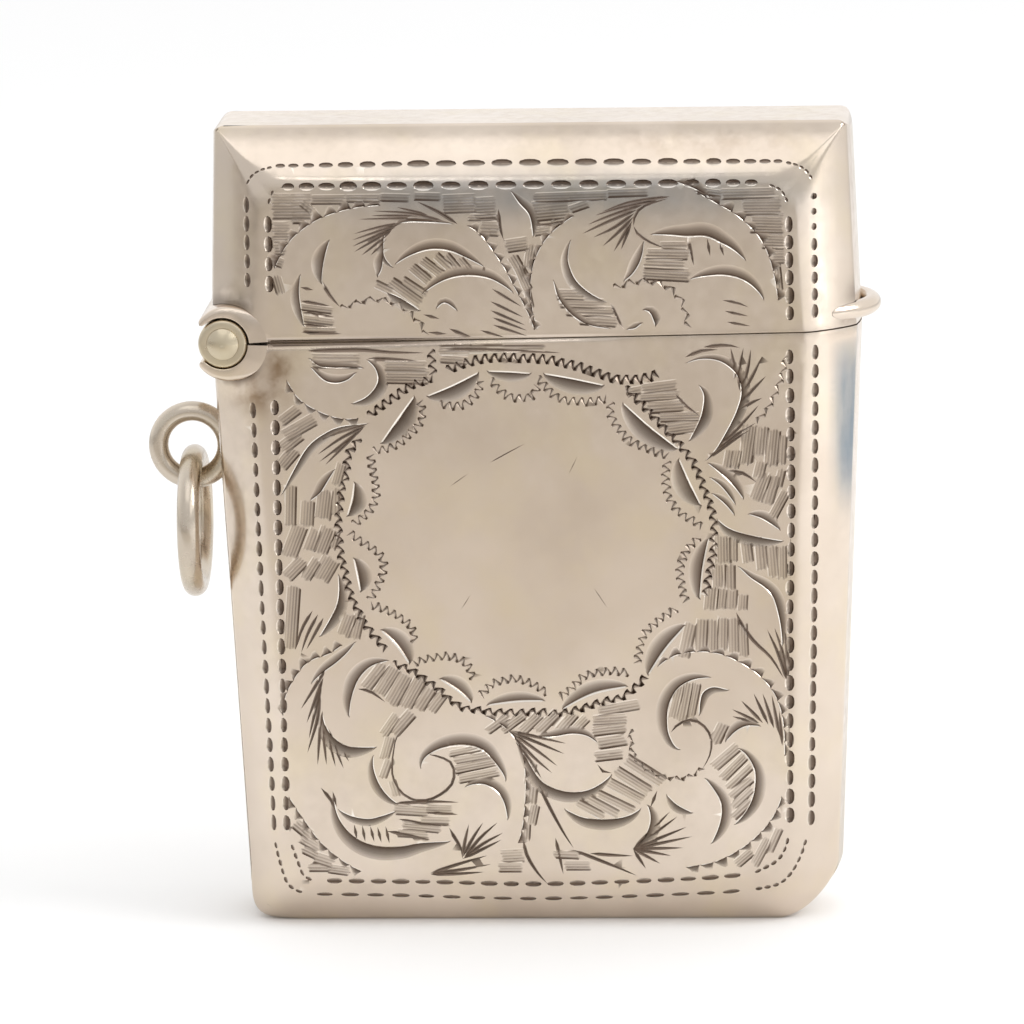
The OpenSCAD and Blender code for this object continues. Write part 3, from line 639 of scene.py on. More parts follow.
        (7.9, 4.6), (7.2, 4.15), (6.6, 3.7), (5.8, 3.4))], [(2.7, 4.3), (3.9, 4.2), (5.1, 4.15)]),
    *lines(0.24, [(12, 11.7), (10.7, 12.1)], [(12.2, 11.7), (10.7, 12.5)], [(12.4, 11.7), (11.2, 13)],
        [(12.7, 11.6), (11.9, 13.4)], [(13, 11.4), (12.4, 13.4)], [(13.3, 11), (12.9, 13.3)],
        [(13.45, 10.4), (13.3, 12.4)]),
    *lines(0.3, [(-12.3, 32.8), (-9.5, 32.85), (-7.8, 32.7), (-5.9, 32.65)],
        [(-5, 32.85), (-2, 32.8), (1.6, 32.6)], [(-9, 32.35), (-7.8, 32.3), (-6.2, 32.2)]),
    *bands("S", (-12, 32.25, -9.6, 32.2, 0.55), (-8, 31.4, -5.8, 31.35, 0.6), (-8, 31.95, -5.9, 31.9, 0.4),
        (-4.9, 32.3, -3.6, 32.2, 0.3), (6.1, 30.55, 7.8, 30.75, 0.4), (6, 30.1, 7.9, 30.2, 0.35),
        (6.4, 29.5, 8.2, 29.6, 0.45), (7, 28.95, 9.1, 29, 0.35), (7.4, 28.3, 9, 28.5, 0.5),
        (5.3, 30.4, 5.9, 30.5, 0.3), (-4.9, 10.05, -3.4, 10.35, 0.25), (-4.6, 9.65, -2.9, 9.95, 0.3),
        (-4.6, 9.15, -2.6, 9.55, 0.35), (-4.4, 8.6, -2.4, 9, 0.35), (3.4, 12.45, 5.5, 12.8, 0.4),
        (3.1, 11.9, 4.7, 12, 0.4), (3.1, 11.3, 4.7, 11.5, 0.4), (3.4, 10.6, 4.7, 10.8, 0.45),
        (3.2, 9.85, 4.5, 10, 0.4), (-2.1, 4.15, -1.1, 4.2, 0.5), (0.8, 4.25, 2, 4.2, 0.3),
        (1.4, 3.6, 2.6, 3.6, 0.35), (-13.2, 4.6, -12.6, 4.3, 0.4), (-12.9, 3.5, -11.9, 3.5, 0.3),
        (-8, 6.85, -6.4, 6.75, 0.4), (-6.3, 6.9, -5, 6.85, 0.35), (-6.6, 6.25, -5.2, 6.2, 0.3),
        (-7.6, 5.95, -5.7, 5.75, 0.35), (-7.9, 5.5, -6.4, 5.4, 0.3), (-13.6, 6, -12.9, 5.4, 0.45),
        (-13.3, 5.2, -12.5, 4.7, 0.4), (-12.6, 4.1, -11.7, 3.8, 0.45), (-11.8, 3.45, -10.8, 3.3, 0.35),
        (-2.3, 3.5, -1.2, 3.5, 0.35), (11.6, 4.3, 10.9, 3.7, 0.35)),
    *bands("N", (-5, 32.8, -3.5, 32.8, 0.35), (-3.4, 32.85, -1.6, 32.85, 0.3),
        (-1.5, 32.85, 0.6, 32.85, 0.25)),
    *bands("E", (-13.4, 25.2, -13.5, 23.1, 0.4), (-12.5, 24.3, -12.6, 23.1, 0.5),
        (-11.5, 24.9, -11.7, 23.5, 0.6), (-10.95, 25, -11, 23.7, 0.3), (-13, 22.9, -13.6, 21.4, 0.6),
        (-12.1, 22.7, -12.5, 21.7, 0.45), (-11.4, 22.8, -11.9, 21.6, 0.6),
        (-10.95, 22.6, -11.2, 21.8, 0.25), (-12.9, 21, -13.7, 20.2, 0.5), (-12.1, 21, -12.7, 20.1, 0.4),
        (-11.3, 21.1, -11.9, 20.1, 0.7), (-13.4, 19.5, -13.7, 16.2, 0.5), (-12.1, 28.95, -13.6, 28.1, 0.5),
        (-12.9, 28.1, -13.8, 27.4, 0.5), (-13.2, 27.2, -13.9, 26.4, 0.5), (-13, 29.5, -13.8, 28.9, 0.4),
        (-10.6, 26.4, -10.9, 25.4, 0.35), (-10.3, 17.9, -10.7, 16.9, 0.5), (-9.8, 17.9, -10.1, 16.7, 0.4),
        (11.9, 28.4, 11.6, 26.4, 0.5), (12.55, 28.3, 12.4, 26.9, 0.5), (13.2, 28.1, 13, 26.3, 0.5),
        (13.7, 27.8, 13.6, 26.4, 0.3), (11.2, 27, 11, 26.2, 0.35), (10.75, 27, 10.6, 26.2, 0.3),
        (12.5, 26.4, 12.3, 25.6, 0.4), (12.7, 25.7, 12.2, 24.4, 0.5), (13.2, 25.6, 12.8, 24.2, 0.45),
        (13.8, 24.7, 13.1, 23.4, 0.35), (13.6, 25.9, 13.4, 25.1, 0.3), (10.8, 19.2, 10.75, 18.3, 0.4),
        (11.4, 18.9, 11.35, 18.2, 0.35), (13.2, 5.6, 12.7, 4.5, 0.3), (10.3, 22.2, 10.3, 20.85, 0.6),
        (10.85, 22.1, 10.85, 21, 0.35), (11.6, 21.8, 11.7, 20.9, 0.4), (12.4, 21.7, 12.5, 20.5, 0.45),
        (13, 21.6, 13.1, 20.1, 0.4), (13.55, 21.6, 13.55, 20, 0.35), (10.1, 20.6, 10.1, 19.5, 0.5),
        (10.65, 20.6, 10.65, 19.4, 0.45), (9.7, 19.3, 9.6, 18.3, 0.5), (10.25, 19.2, 10.15, 18.3, 0.4),
        (8.5, 17.3, 8.1, 15.6, 0.45), (9.15, 17.5, 9.05, 15.95, 0.45), (9.75, 17.5, 9.7, 15.95, 0.4),
        (10.3, 17.6, 10.25, 16, 0.4), (10.85, 17.6, 10.85, 15.8, 0.4), (11.35, 17.2, 11.4, 15.6, 0.35),
        (-8.55, 15.1, -9.5, 13.9, 0.45), (-7.95, 14.85, -8.75, 13.6, 0.5), (-7.3, 14.45, -8.15, 13, 0.55),
        (-6.55, 14.2, -7.35, 12.8, 0.5), (-5.95, 13.7, -6.6, 12.7, 0.45), (-5.3, 13.4, -5.9, 12.6, 0.4),
        (-7.1, 12.3, -8, 11.3, 0.45), (-7.9, 12.2, -8.6, 11.2, 0.35), (-8.3, 10.9, -8.6, 9.9, 0.35),
        (-8.4, 9.6, -8.7, 8.8, 0.3), (-8.2, 8.4, -8, 7.7, 0.3), (-1.7, 12.15, -2.8, 11.35, 0.3),
        (-0.9, 12.2, -1.9, 11.45, 0.35), (0, 12.2, -0.9, 11.35, 0.4), (0.95, 12.3, 0, 11.35, 0.4),
        (1.95, 12.25, 1.15, 11.35, 0.4), (2.6, 12, 2, 11.4, 0.35), (7.85, 13.8, 7.45, 12.2, 0.35),
        (8.3, 13.95, 7.9, 12, 0.4), (8.75, 13.9, 8.4, 12.2, 0.35), (10.2, 11.6, 9.75, 10.7, 0.45),
        (10.9, 10.3, 9.75, 9.3, 0.4), (11.3, 9.75, 10.2, 8.65, 0.35), (11.65, 9.2, 10.5, 8.1, 0.3),
        (11.7, 8.5, 10.65, 7.6, 0.3), (11.7, 7.9, 10.75, 7, 0.3), (11.6, 7.2, 10.75, 6.4, 0.3),
        (12.55, 5, 11.85, 3.7, 0.35), (-0.45, 9.4, -0.6, 8.4, 0.4), (-0.45, 8.1, -0.55, 7.3, 0.45),
        (-0.3, 7, -0.5, 6.1, 0.35), (-0.75, 5.9, -0.8, 5.2, 0.25)),
    *bands("NE", (4.9, 9.65, 6.7, 8.45, 0.45), (4.3, 9, 6, 7.9, 0.4), (3.9, 8.35, 5.6, 7.4, 0.35),
        (3.3, 7.7, 5.1, 6.8, 0.3), (2.7, 7.45, 4.2, 6.6, 0.3), (2.1, 7.2, 3.4, 6.5, 0.3)),
    *bites([(-13.5, 31.2), (-12.9, 30.2), (-12, 29.55), (-10.9, 29.1), (-9.9, 29), (-9, 29.2)], "SW", 0.8,
        0.36),
    *wriggle([(-9, 29.2), (-8, 29.9), (-7, 30.6), (-6.2, 31), (-5.4, 31.25)], 0.26, 0.5, 0.34, 1),
    *wriggle([(-4.6, 31.7), (-3.2, 32.2), (-2, 32.35), (0, 32.3), (1.5, 32.1), (2.8, 31.75), (3.8, 31.4),
        (4.8, 31.1), (6, 31.1), (6.9, 31.4)], 0.26, 0.56, 0.36, 1),
    *wriggle([(5.1, 30.6), (5.9, 29.8), (6.6, 29), (7.4, 28.1), (8.3, 27.1), (8.9, 26.1), (9.3, 25),
        (9.7, 23.8), (9.85, 22.6), (9.75, 21.2), (9.5, 20), (9.3, 18.9)], 0.3, 0.46, 0.36, 1),
    *wriggle([(-9.6, 27.9), (-10.2, 27), (-10.3, 26), (-10.6, 25), (-10.75, 24), (-10.85, 23), (-10.8, 22),
        (-10.7, 21), (-10.45, 20), (-10.3, 19.2), (-9.95, 18.3), (-9.5, 17.4), (-9, 16.7), (-8.4, 15.9)],
        0.3, 0.44, 0.36, 1),
    *wriggle([(-8, 15.2), (-7.2, 14.9), (-6.2, 14.2), (-5.5, 13.7), (-4.9, 13.1), (-4.2, 12.65),
        (-3.2, 12.5), (-2.2, 12.4), (-1, 12.35), (0.2, 12.4), (1.2, 12.3), (2.4, 12.6), (3.6, 12.95),
        (4.8, 13.3), (5.5, 13.9), (6, 14.4)], 0.3, 0.42, 0.36, 1),
    *wriggle([(13.9, 32.4), (13.7, 31.2), (13.3, 30.2), (12.9, 29.4), (12.2, 28.6)], 0.36, 0.3, 0.28),
    *wriggle([(-5.5, 32.8), (-5.45, 31.4)], 0.26, 0.46, 0.32, 1),
    *bites([(-3, 12.2), (-1.9, 11.5), (-1.15, 10.5), (-0.88, 9.4), (-0.82, 8.2), (-0.9, 7), (-1.05, 5.8),
        (-1.3, 4.9)], "E", 0.75, 0.36),
    *bites([(-14.2, 12.2), (-13.95, 13.5), (-13.2, 14.75), (-12.55, 15.35), (-11.5, 15.75), (-10.5, 16.45)],
        "NW", 0.7, 0.4),
    *bites([(-14, 7.6), (-13.2, 6.3), (-12.3, 5), (-11.2, 4), (-9.9, 3.2)], "SW", 0.75, 0.36),
    *wriggle([(5.1, 11.4), (5.1, 10.4), (5.4, 9.6), (6.2, 8.9), (7.2, 8.6), (8.2, 8.65), (9.1, 9.2)], 0.36,
        0.26, 0.26),
    *bites([(6.6, 14.9), (7.5, 15.5), (8.8, 15.75), (10.1, 15.6), (11.3, 15.05), (12.3, 14.3), (13, 13.4),
        (13.4, 12.3), (13.55, 11), (13.55, 9.6)], "NE", 0.8, 0.36),
    *bites([(8, 3.5), (9.6, 3.8), (11, 4.5), (12.2, 5.5), (13, 6.6), (13.5, 7.9)], "SE", 0.8, 0.36),
    *dashes([(-14.2, 30.2), (-14.2, 5.5)], 1.1, 0.86, 0.48, "W"),
    *dashes([(-12.2, 2.75), (-6, 2.65), (0, 2.5), (8, 2.8), (11.2, 3.05)], 1.22, 0.9, 0.34, "N"),
    *dashes([(-13.95, 4.9), (-13.6, 3.9), (-13.3, 3.1), (-12.8, 2.75)], 0.5, 0.36, 0.22, "E"),
    *dashes([(11.8, 3.15), (13, 3.8), (13.5, 4.5), (13.7, 5.2)], 0.5, 0.36, 0.22, "W"),
    *dashes([(14.1, 32.8), (14.1, 24), (13.95, 18), (13.85, 10), (13.8, 5.9)], 1.07, 0.86, 0.5, "W"),
    *dashes([(-15.45, 30), (-15.3, 20), (-15.05, 10), (-14.95, 5.4)], 1.1, 0.84, 0.38, "W"),
    *dashes([(-12.9, 1.85), (-8, 1.75), (0, 1.5), (9, 1.85), (11.2, 2.05)], 1.45, 0.95, 0.26, "N"),
    *dashes([(-14.9, 4.9), (-14.65, 3.8), (-14.3, 2.7), (-13.9, 2.2), (-13.4, 1.95)], 0.5, 0.36, 0.22, "E"),
    *dashes([(11.8, 2.1), (13, 2.4), (13.7, 2.95), (14.3, 3.9), (14.7, 5)], 0.5, 0.36, 0.22, "W"),
    *dashes([(15.5, 33), (15.3, 20), (15.1, 12), (14.95, 5.6)], 1.07, 0.84, 0.46, "W"),
    *lines(0.08, [(-2.4, 26.5), (-1.5, 27), (-0.45, 27.55)]),
    *lines(0.05, [(-4.6, 25.2), (-3.6, 25.9)], [(1.9, 25.8), (2.4, 26.8)], [(-4.2, 18.2), (-3.6, 19.1)],
        [(3.2, 19.4), (3.9, 18.3)]),
]


def stretches(free):
    """First and last place of each unbroken run of true values."""
    return np.flatnonzero(np.diff(np.concatenate([[0], free, [0]]).astype(int))).reshape(-1, 2)


def fitted(stroke, room):
    """The part of a stroke that lies on the piece, its cut ends drawn to a point."""
    free = room(stroke[..., 0], stroke[..., 1]).min(axis=1) > EDGE_MARGIN
    if free.all():
        return stroke
    if not free.any():
        return None
    a, b = max(stretches(free), key=lambda r: r[1] - r[0])
    if b - a < 3:
        return None
    kept = stroke[a:b].copy()
    for row in (0, -1):
        kept[row] = kept[row].mean(axis=0)
        kept[row, :, 2:] = 0
    return kept


def cut_depths(points, strokes):
    """Depth and darkness of the engraving at each point: those of the deepest stroke that covers it, each
    stroke being a strip of small triangles with straight slopes."""
    tone_weight = 0.002
    order = np.argsort(points[:, 0])
    px, pz = points[order, 0], points[order, 1]
    found = np.zeros((len(points), 2))
    for s in strokes:
        low, high = s[..., :2].min(axis=(0, 1)) - 1e-4, s[..., :2].max(axis=(0, 1)) + 1e-4
        i0, i1 = np.searchsorted(px, [low[0], high[0]])
        near = i0 + np.flatnonzero((pz[i0:i1] >= low[1]) & (pz[i0:i1] <= high[1]))
        if len(near) == 0:
            continue
        a, b, c, d = s[:-1, :-1], s[1:, :-1], s[1:, 1:], s[:-1, 1:]
        halves = [np.stack(corners, axis=2).reshape(-1, 3, 4) for corners in ((a, b, c), (a, c, d))]
        tri = np.concatenate(halves)
        u, v = tri[:, 1, :2] - tri[:, 0, :2], tri[:, 2, :2] - tri[:, 0, :2]
        area = u[:, 0] * v[:, 1] - u[:, 1] * v[:, 0]
        tri, u, v, area = (q[np.abs(area) > 1e-9] for q in (tri, u, v, area))
        rx = px[near][:, None] - tri[None, :, 0, 0]
        rz = pz[near][:, None] - tri[None, :, 0, 1]
        wu = (rx * v[:, 1] - rz * v[:, 0]) / area
        wv = (u[:, 0] * rz - u[:, 1] * rx) / area
        inside = (wu > -2e-3) & (wv > -2e-3) & (wu + wv < 1.002)
        weights = np.stack([1 - wu - wv, wu, wv], axis=2)
        depth, tone = (np.einsum("pti,ti->pt", weights, tri[:, :, 2 + k]) for k in (0, 1))
        rank = np.where(inside, depth + tone_weight * np.abs(tone), -1)
        best = rank.argmax(axis=1)
        row = np.arange(len(near))
        place = order[near]
        win = rank[row, best] > found[place, 0] + tone_weight * np.abs(found[place, 1])
        found[place[win]] = np.column_stack([depth[row, best], tone[row, best]])[win]
    return found


# The shells: the plain front of each solid is taken off and the engraved one put in its place
def inside_rim(faces, rim):
    """The triangles on the inner side of the rim: those that meet it from outside are dropped, and from
    them all that can be reached without crossing it."""
    owner = {(int(f[k]), int(f[k - 2])): i for i, f in enumerate(faces) for k in range(3)}
    queue = [owner[(b, a)] for a, b in rim if (b, a) in owner]
    outside = np.zeros(len(faces), bool)
    while queue:
        i = queue.pop()
        if outside[i]:
            continue
        outside[i] = True
        for k in range(3):
            a, b = int(faces[i][k]), int(faces[i][k - 2])
            if (a, b) not in rim and (b, a) not in rim and (b, a) in owner:
                queue.append(owner[(b, a)])
    return faces[~outside]


def plan_of(strokes, edge, extra_points, extra_lines):
    """The front cut into triangles that keep every stroke's outline and valley as edges. Gives the
    points, the triangles, and for each point of the piece's edge its place in the list."""
    points = [tuple(p) for p in edge]
    joins = [(i, (i + 1) % len(edge)) for i in range(len(edge))]
    for chain in extra_lines:
        joins += [(len(points) + i, len(points) + i + 1) for i in range(len(chain) - 1)]
        points += [tuple(p) for p in chain]
    for s in strokes:
        number = len(points) + np.arange(s.shape[0] * s.shape[1]).reshape(s.shape[:2])
        points += [tuple(p) for p in s[..., :2].reshape(-1, 2)]
        joins += list(zip(number[:-1].ravel().tolist(), number[1:].ravel().tolist()))
        for row in (0, -1):
            if np.ptp(s[row, :, :2], axis=0).max() > 0.01:
                joins += list(zip(number[row, :-1].tolist(), number[row, 1:].tolist()))
    points += [tuple(p) for p in extra_points]
    merge = 0.004
    result = geometry.delaunay_2d_cdt([Vector(p) for p in points], joins, [], 1, merge, True)
    found = np.array([(p.x, p.y) for p in result[0]])
    places = {k: i for i, source in enumerate(result[3]) for k in source if k < len(edge)}
    rim = set()
    for (a, b), source in zip(result[1], result[4]):
        for k in source:
            if k < len(edge):
                along = np.dot(found[b] - found[a], edge[(k + 1) % len(edge)] - edge[k]) > 0
                rim.add((a, b) if along else (b, a))
    return found, inside_rim(np.array(result[2]), rim), places


def level_lines(share, room, centre, first, last):
    """Lines of equal share of the bevel, so that the triangles follow it: on rays from a centre, the
    place where the share falls to the level is found by halving."""
    rays, halvings, step = 1500, 40, 0.42
    angle = np.linspace(first, last, rays)
    ray = np.column_stack([np.cos(angle), np.sin(angle)])
    chains = []
    for level in (0.01, 0.026, 0.05, 0.1, 0.2, 0.35, 0.52, 0.68, 0.8, 0.89, 0.96, 1.03, 1.12):
        near, far = np.zeros(rays), np.full(rays, 40.0)
        for _ in range(halvings):
            middle = (near + far) / 2
            inside = share(centre[0] + ray[:, 0] * middle, centre[1] + ray[:, 1] * middle) > level
            near, far = np.where(inside, middle, near), np.where(inside, far, middle)
        curve = np.array(centre) + ray * near[:, None]
        run = lengths_along(curve)
        even = points_at(curve, run, np.linspace(0, run[-1], int(run[-1] / step)))
        free = room(even[:, 0], even[:, 1]) > 0.02
        chains += [even[i:j] for i, j in stretches(free) if j - i > 2]
    return chains


def mitre(side, ratio):
    """A line down the lid's corner where the shares crossed from the side and from the top keep one
    ratio."""
    top = np.linspace(0.1, 1.12 / max(ratio, 1), 12)
    z = TOP - BEVEL_W * top
    half = SEAM_HALF - (z - SEAM_Z) * LID_SLOPE - SIDE_RISE - (BEVEL_W - SIDE_RISE) * top * ratio
    return np.column_stack([side * half, z])


def seam_lines(way):
    """Lines along the seam, above or below it, that carry its worn edge."""
    x = np.arange(-14.2, 17.2, 0.5)
    return [np.column_stack([x, SEAM_Z + x * SEAM_SLOPE + way * off]) for off in (0.14, 0.25, 0.4)]


def corner_normals(mesh, group, limit):
    """Normals for each face corner: the mean of the faces round it that belong to the same group and turn
    from its own face by less than the limit."""
    most_round = 48
    loops, polys = len(mesh.loops), len(mesh.polygons)
    vertex = np.zeros(loops, int)
    mesh.loops.foreach_get("vertex_index", vertex)
    total = np.zeros(polys, int)
    mesh.polygons.foreach_get("loop_total", total)
    face = np.repeat(np.arange(polys), total)
    normal = np.zeros(polys * 3)
    mesh.polygons.foreach_get("normal", normal)
    normal = normal.reshape(-1, 3)
    area = np.zeros(polys)
    mesh.polygons.foreach_get("area", area)
    order = np.argsort(vertex, kind="stable")
    v, f = vertex[order], face[order]
    weight = np.sqrt(area[f])[:, None] * normal[f]
    summed = weight.copy()
    for shift in range(1, most_round):
        same = v[shift:] == v[:-shift]
        if not same.any():
            break
        alike = np.einsum("ij,ij->i", normal[f[shift:]], normal[f[:-shift]]) > math.cos(limit)
        pair = np.flatnonzero(same & alike & (group[f[shift:]] == group[f[:-shift]]))
        summed[pair] += weight[pair + shift]
        summed[pair + shift] += weight[pair]
    out = np.zeros((loops, 3))
    out[order] = summed / (np.linalg.norm(summed, axis=1)[:, None] + 1e-15)
    return out, vertex, face


def rounded_top(bm):
    """Rounds the two upper corners of the lid: planes that touch a circle cut the corner away, one after
    another."""
    for way in (-1, 1):
        for angle in np.radians(np.arange(9, 90, 12)):
            out = Vector((way * math.cos(angle), 0, math.sin(angle)))
            place = Vector((way * (TOP_HALF - TOP_R), 0, TOP - TOP_R)) + out * TOP_R
            geom = bm.verts[:] + bm.edges[:] + bm.faces[:]
            bmesh.ops.bisect_plane(bm, geom=geom, dist=1e-5, plane_co=place, plane_no=out, clear_outer=True)
            bmesh.ops.holes_fill(bm, edges=[e for e in bm.edges if e.is_boundary])


def rounded_corners(bm):
    """Draws the lower corners' outer wall out along rays from the corner's centre, to one smooth sweep
    from the side to the base; the side band's rise grows as the square of the depth."""
    for v in bm.verts:
        out, down = abs(v.co.x) - CORNER_X, CORNER_R - v.co.z
        angle = math.atan2(down, out)
        outer = math.hypot(out, down) > CORNER_R - SIDE_RISE - 0.02 and abs(v.co.y) < BAND + 1e-3
        if out > 1e-3 and angle > BODY_LEAN and outer:
            _, edge = corner_edge(angle, v.co.x, (v.co.y / BAND) ** 2)
            v.co.x = math.copysign(CORNER_X + edge * math.cos(angle), v.co.x)
            v.co.z = CORNER_R - edge * math.sin(angle)


def open_shell(node, side):
    """The solid's mesh in millimetres with its doubled points merged, its worn corners rounded and its
    front taken off, the long edges round the opening split into short ones."""
    bm = bmesh.new()
    bm.from_mesh(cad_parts[node].data)
    bmesh.ops.scale(bm, vec=(1 / MM,) * 3, verts=bm.verts)
    bmesh.ops.remove_doubles(bm, verts=bm.verts, dist=2e-4)
    if node.startswith("lid"):
        rounded_top(bm)
    bm.normal_update()
    facing = [f for f in bm.faces if f.normal.y * side > 0.3]
    front = [f for f in facing if min(v.co.y * side for v in f.verts) > BAND - 1e-3]
    bmesh.ops.delete(bm, geom=front, context="FACES")
    for e in [e for e in bm.edges if len(e.link_faces) == 1]:
        start = e.verts[0]
        step = CORNER_STEP if min(v.co.z for v in e.verts) < CORNER_R else RIM_STEP
        for parts in range(int(e.calc_length() / step) + 1, 1, -1):
            _, start = bmesh.utils.edge_split(e, start, 1 / parts)
    if node.startswith("body"):
        rounded_corners(bm)
    return bm


def opening_loop(bm):
    """The vertices round the opening, in order, anticlockwise as seen from the front."""
    rim = {e for e in bm.edges if len(e.link_faces) == 1}
    vertex = next(iter(rim)).verts[0]
    loop = []
    while rim:
        e = next(k for k in vertex.link_edges if k in rim)
        rim.discard(e)
        loop.append(vertex)
        vertex = e.other_vert(vertex)
    x = np.array([v.co.x for v in loop])
    z = np.array([v.co.z for v in loop])
    if np.sum(x * np.roll(z, -1) - np.roll(x, -1) * z) < 0:
        loop.reverse()
    return loop


def placed(name, data):
    """A new object in the scene."""
    thing = bpy.data.objects.new(name, data)
    bpy.context.scene.collection.objects.link(thing)
    return thing


def plain_normals(height, x, z, side):
    """Normals of the uncut front, from the differences of its height over a short step each way."""
    step = 0.01
    across = height(x - step, z) - height(x + step, z)
    upward = height(x, z - step) - height(x, z + step)
    plain = np.column_stack([across, np.full(len(x), 2 * step * side), upward])
    return plain / np.linalg.norm(plain, axis=1)[:, None]


def engraved_shell(node, side, height, room, strokes, creases):
    """A shell whose plain front is replaced by the engraved one: the height of the front less the depth of
    the cuts. Each face corner also gets its normal; its darkness, that of the cuts (patina and painted
    shade, or a painted highlight on their lips) or of the seam and hinge (painted shade and some soiling);
    and the stains with the painted reflection."""
    spacing, sharp, inset = 0.5, math.radians(32), 0.03
    bm = open_shell(node, side)
    loop = opening_loop(bm)
    edge = np.array([(v.co.x, v.co.z) for v in loop])
    for v in loop:
        v.co.y = side * float(height(np.array(v.co.x), np.array(v.co.z)))
    grid = np.meshgrid(np.arange(-18, 18, spacing), np.arange(0, 45, spacing))
    grid = np.stack(grid, axis=-1).reshape(-1, 2)
    grid = grid[room(grid[:, 0], grid[:, 1]) > spacing / 2]
    cuts = [k for k in (fitted(s, room) for s in strokes) if k is not None]
    flat, faces, places = plan_of(cuts, edge, grid, creases)
    depth = cut_depths(flat, cuts)
    bm.verts.index_update()
    number = np.full(len(flat), -1)
    number[[places[k] for k in range(len(loop))]] = [v.index for v in loop]
    new = number < 0
    number[new] = len(bm.verts) + np.arange(new.sum())
    depth[~new] = 0
    x, z = flat[new, 0], flat[new, 1]
    added = np.column_stack([x, side * (height(x, z) - depth[new, 0]), z])
    points = np.vstack([np.array([v.co for v in bm.verts]), added])
    old_faces = [[v.index for v in f.verts] for f in bm.faces]
    bm.free()
    turned = faces if side < 0 else faces[:, ::-1]
    mesh = bpy.data.meshes.new(node + "_engraved")
    mesh.from_pydata((points * MM).tolist(), [], old_faces + number[turned].tolist())
    is_cut = (depth[turned, 0] > 2e-4).any(axis=1)
    group = np.concatenate([np.zeros(len(old_faces), int), 1 + is_cut])
    normals, vertex, face = corner_normals(mesh, group, sharp)
    place = points[vertex]
    first = sum(len(f) for f in old_faces)
    uncut = group[face[first:]] == 1
    middle = np.repeat(flat[turned].mean(axis=1), 3, axis=0)
    inward = place[first:, [0, 2]] * (1 - inset) + middle * inset
    normals[first:][uncut] = plain_normals(height, inward[:, 0], inward[:, 1], side)[uncut]
    mesh.polygons.foreach_set("use_smooth", np.ones(len(mesh.polygons), bool))
    mesh.normals_split_custom_set(normals.tolist())
    # darkness along the seam, and painted shade round the hinge and by the thumb ledge, with some soiling
    shade_and_dirt = painted_shade_and_dirt(place[first:, 0], place[first:, 2])
    dark = depth[turned.reshape(-1), 1]
    tone = np.zeros(len(vertex))
    # below nought a painted lip highlight, elsewhere the darker of the cut's painted shade and the seam and
    # hinge shade
    tone[first:] = np.where(uncut, shade_and_dirt, np.where(dark < 0, dark, np.maximum(dark, shade_and_dirt)))
    # stains and the painted blue-grey reflection, half as strong at the back
    painted_reflection_and_stain = stains_and_painted_reflection(place[:, 0], place[:, 2]) * (1 if side < 0 else 0.5)
    for name, values in (("tone", tone), ("painted_reflection_and_stain", painted_reflection_and_stain)):
        mesh.attributes.new(name, "FLOAT", "CORNER").data.foreach_set("value", values)
    return placed(node + "_engraved", mesh)


# The hinge
def round_hinge(name, r, y, turn, closed):
    """A mesh from a section carried round the hinge: at each angle a closed loop of points, given by
    their radius and depth, is joined to the next; the first and last are joined too, or else filled."""
    x = HINGE_AT[0] + r * np.cos(turn)[:, None]
    z = HINGE_AT[1] + r * np.sin(turn)[:, None]
    points = np.stack([x, y, z], axis=2)
    count, size = r.shape
    i = np.arange(count if closed else count - 1)[:, None]
    j = np.arange(size)[None, :]
    a, b = i * size + j, i * size + (j + 1) % size
    c, d = (i + 1) % count * size + (j + 1) % size, (i + 1) % count * size + j
    faces = np.stack([a, b, c, d], axis=2).reshape(-1, 4).tolist()
    if not closed:
        faces += [list(range(size))[::-1], list(range((count - 1) * size, count * size))]
    mesh = bpy.data.meshes.new(name)
    mesh.from_pydata((points.reshape(-1, 3) * MM).tolist(), [], faces)
    bm = bmesh.new()
    bm.from_mesh(mesh)
    bmesh.ops.recalc_face_normals(bm, faces=bm.faces)
    bm.to_mesh(mesh)
    bm.free()
    mesh.polygons.foreach_set("use_smooth", np.ones(len(mesh.polygons), bool))
    mesh.set_sharp_from_angle(angle=math.radians(50))
    return placed(name, mesh)


def rounded_section(inner, outer, half, round_in, round_out, steps):
    """Radius and depth of a section's points at each angle of a turn: its four corners, two at the inner
    radius and two at the outer, are quarter circles."""
    arc = np.linspace(0, math.pi / 2, steps)
    r, y = [], []
    for radius, centre, out, front, way in ((round_in, inner + round_in, -1, -1, 1),
                                            (round_out, outer - round_out, 1, -1, -1),
                                            (round_out, outer - round_out, 1, 1, 1),
                                            (round_in, inner + round_in, -1, 1, -1)):
        r.append(centre[:, None] + out * radius[:, None] * np.cos(arc[::way]))
        y.append(front * (half[:, None] - radius[:, None] + radius[:, None] * np.sin(arc[::way])))
    return np.hstack(r), np.hstack(y)


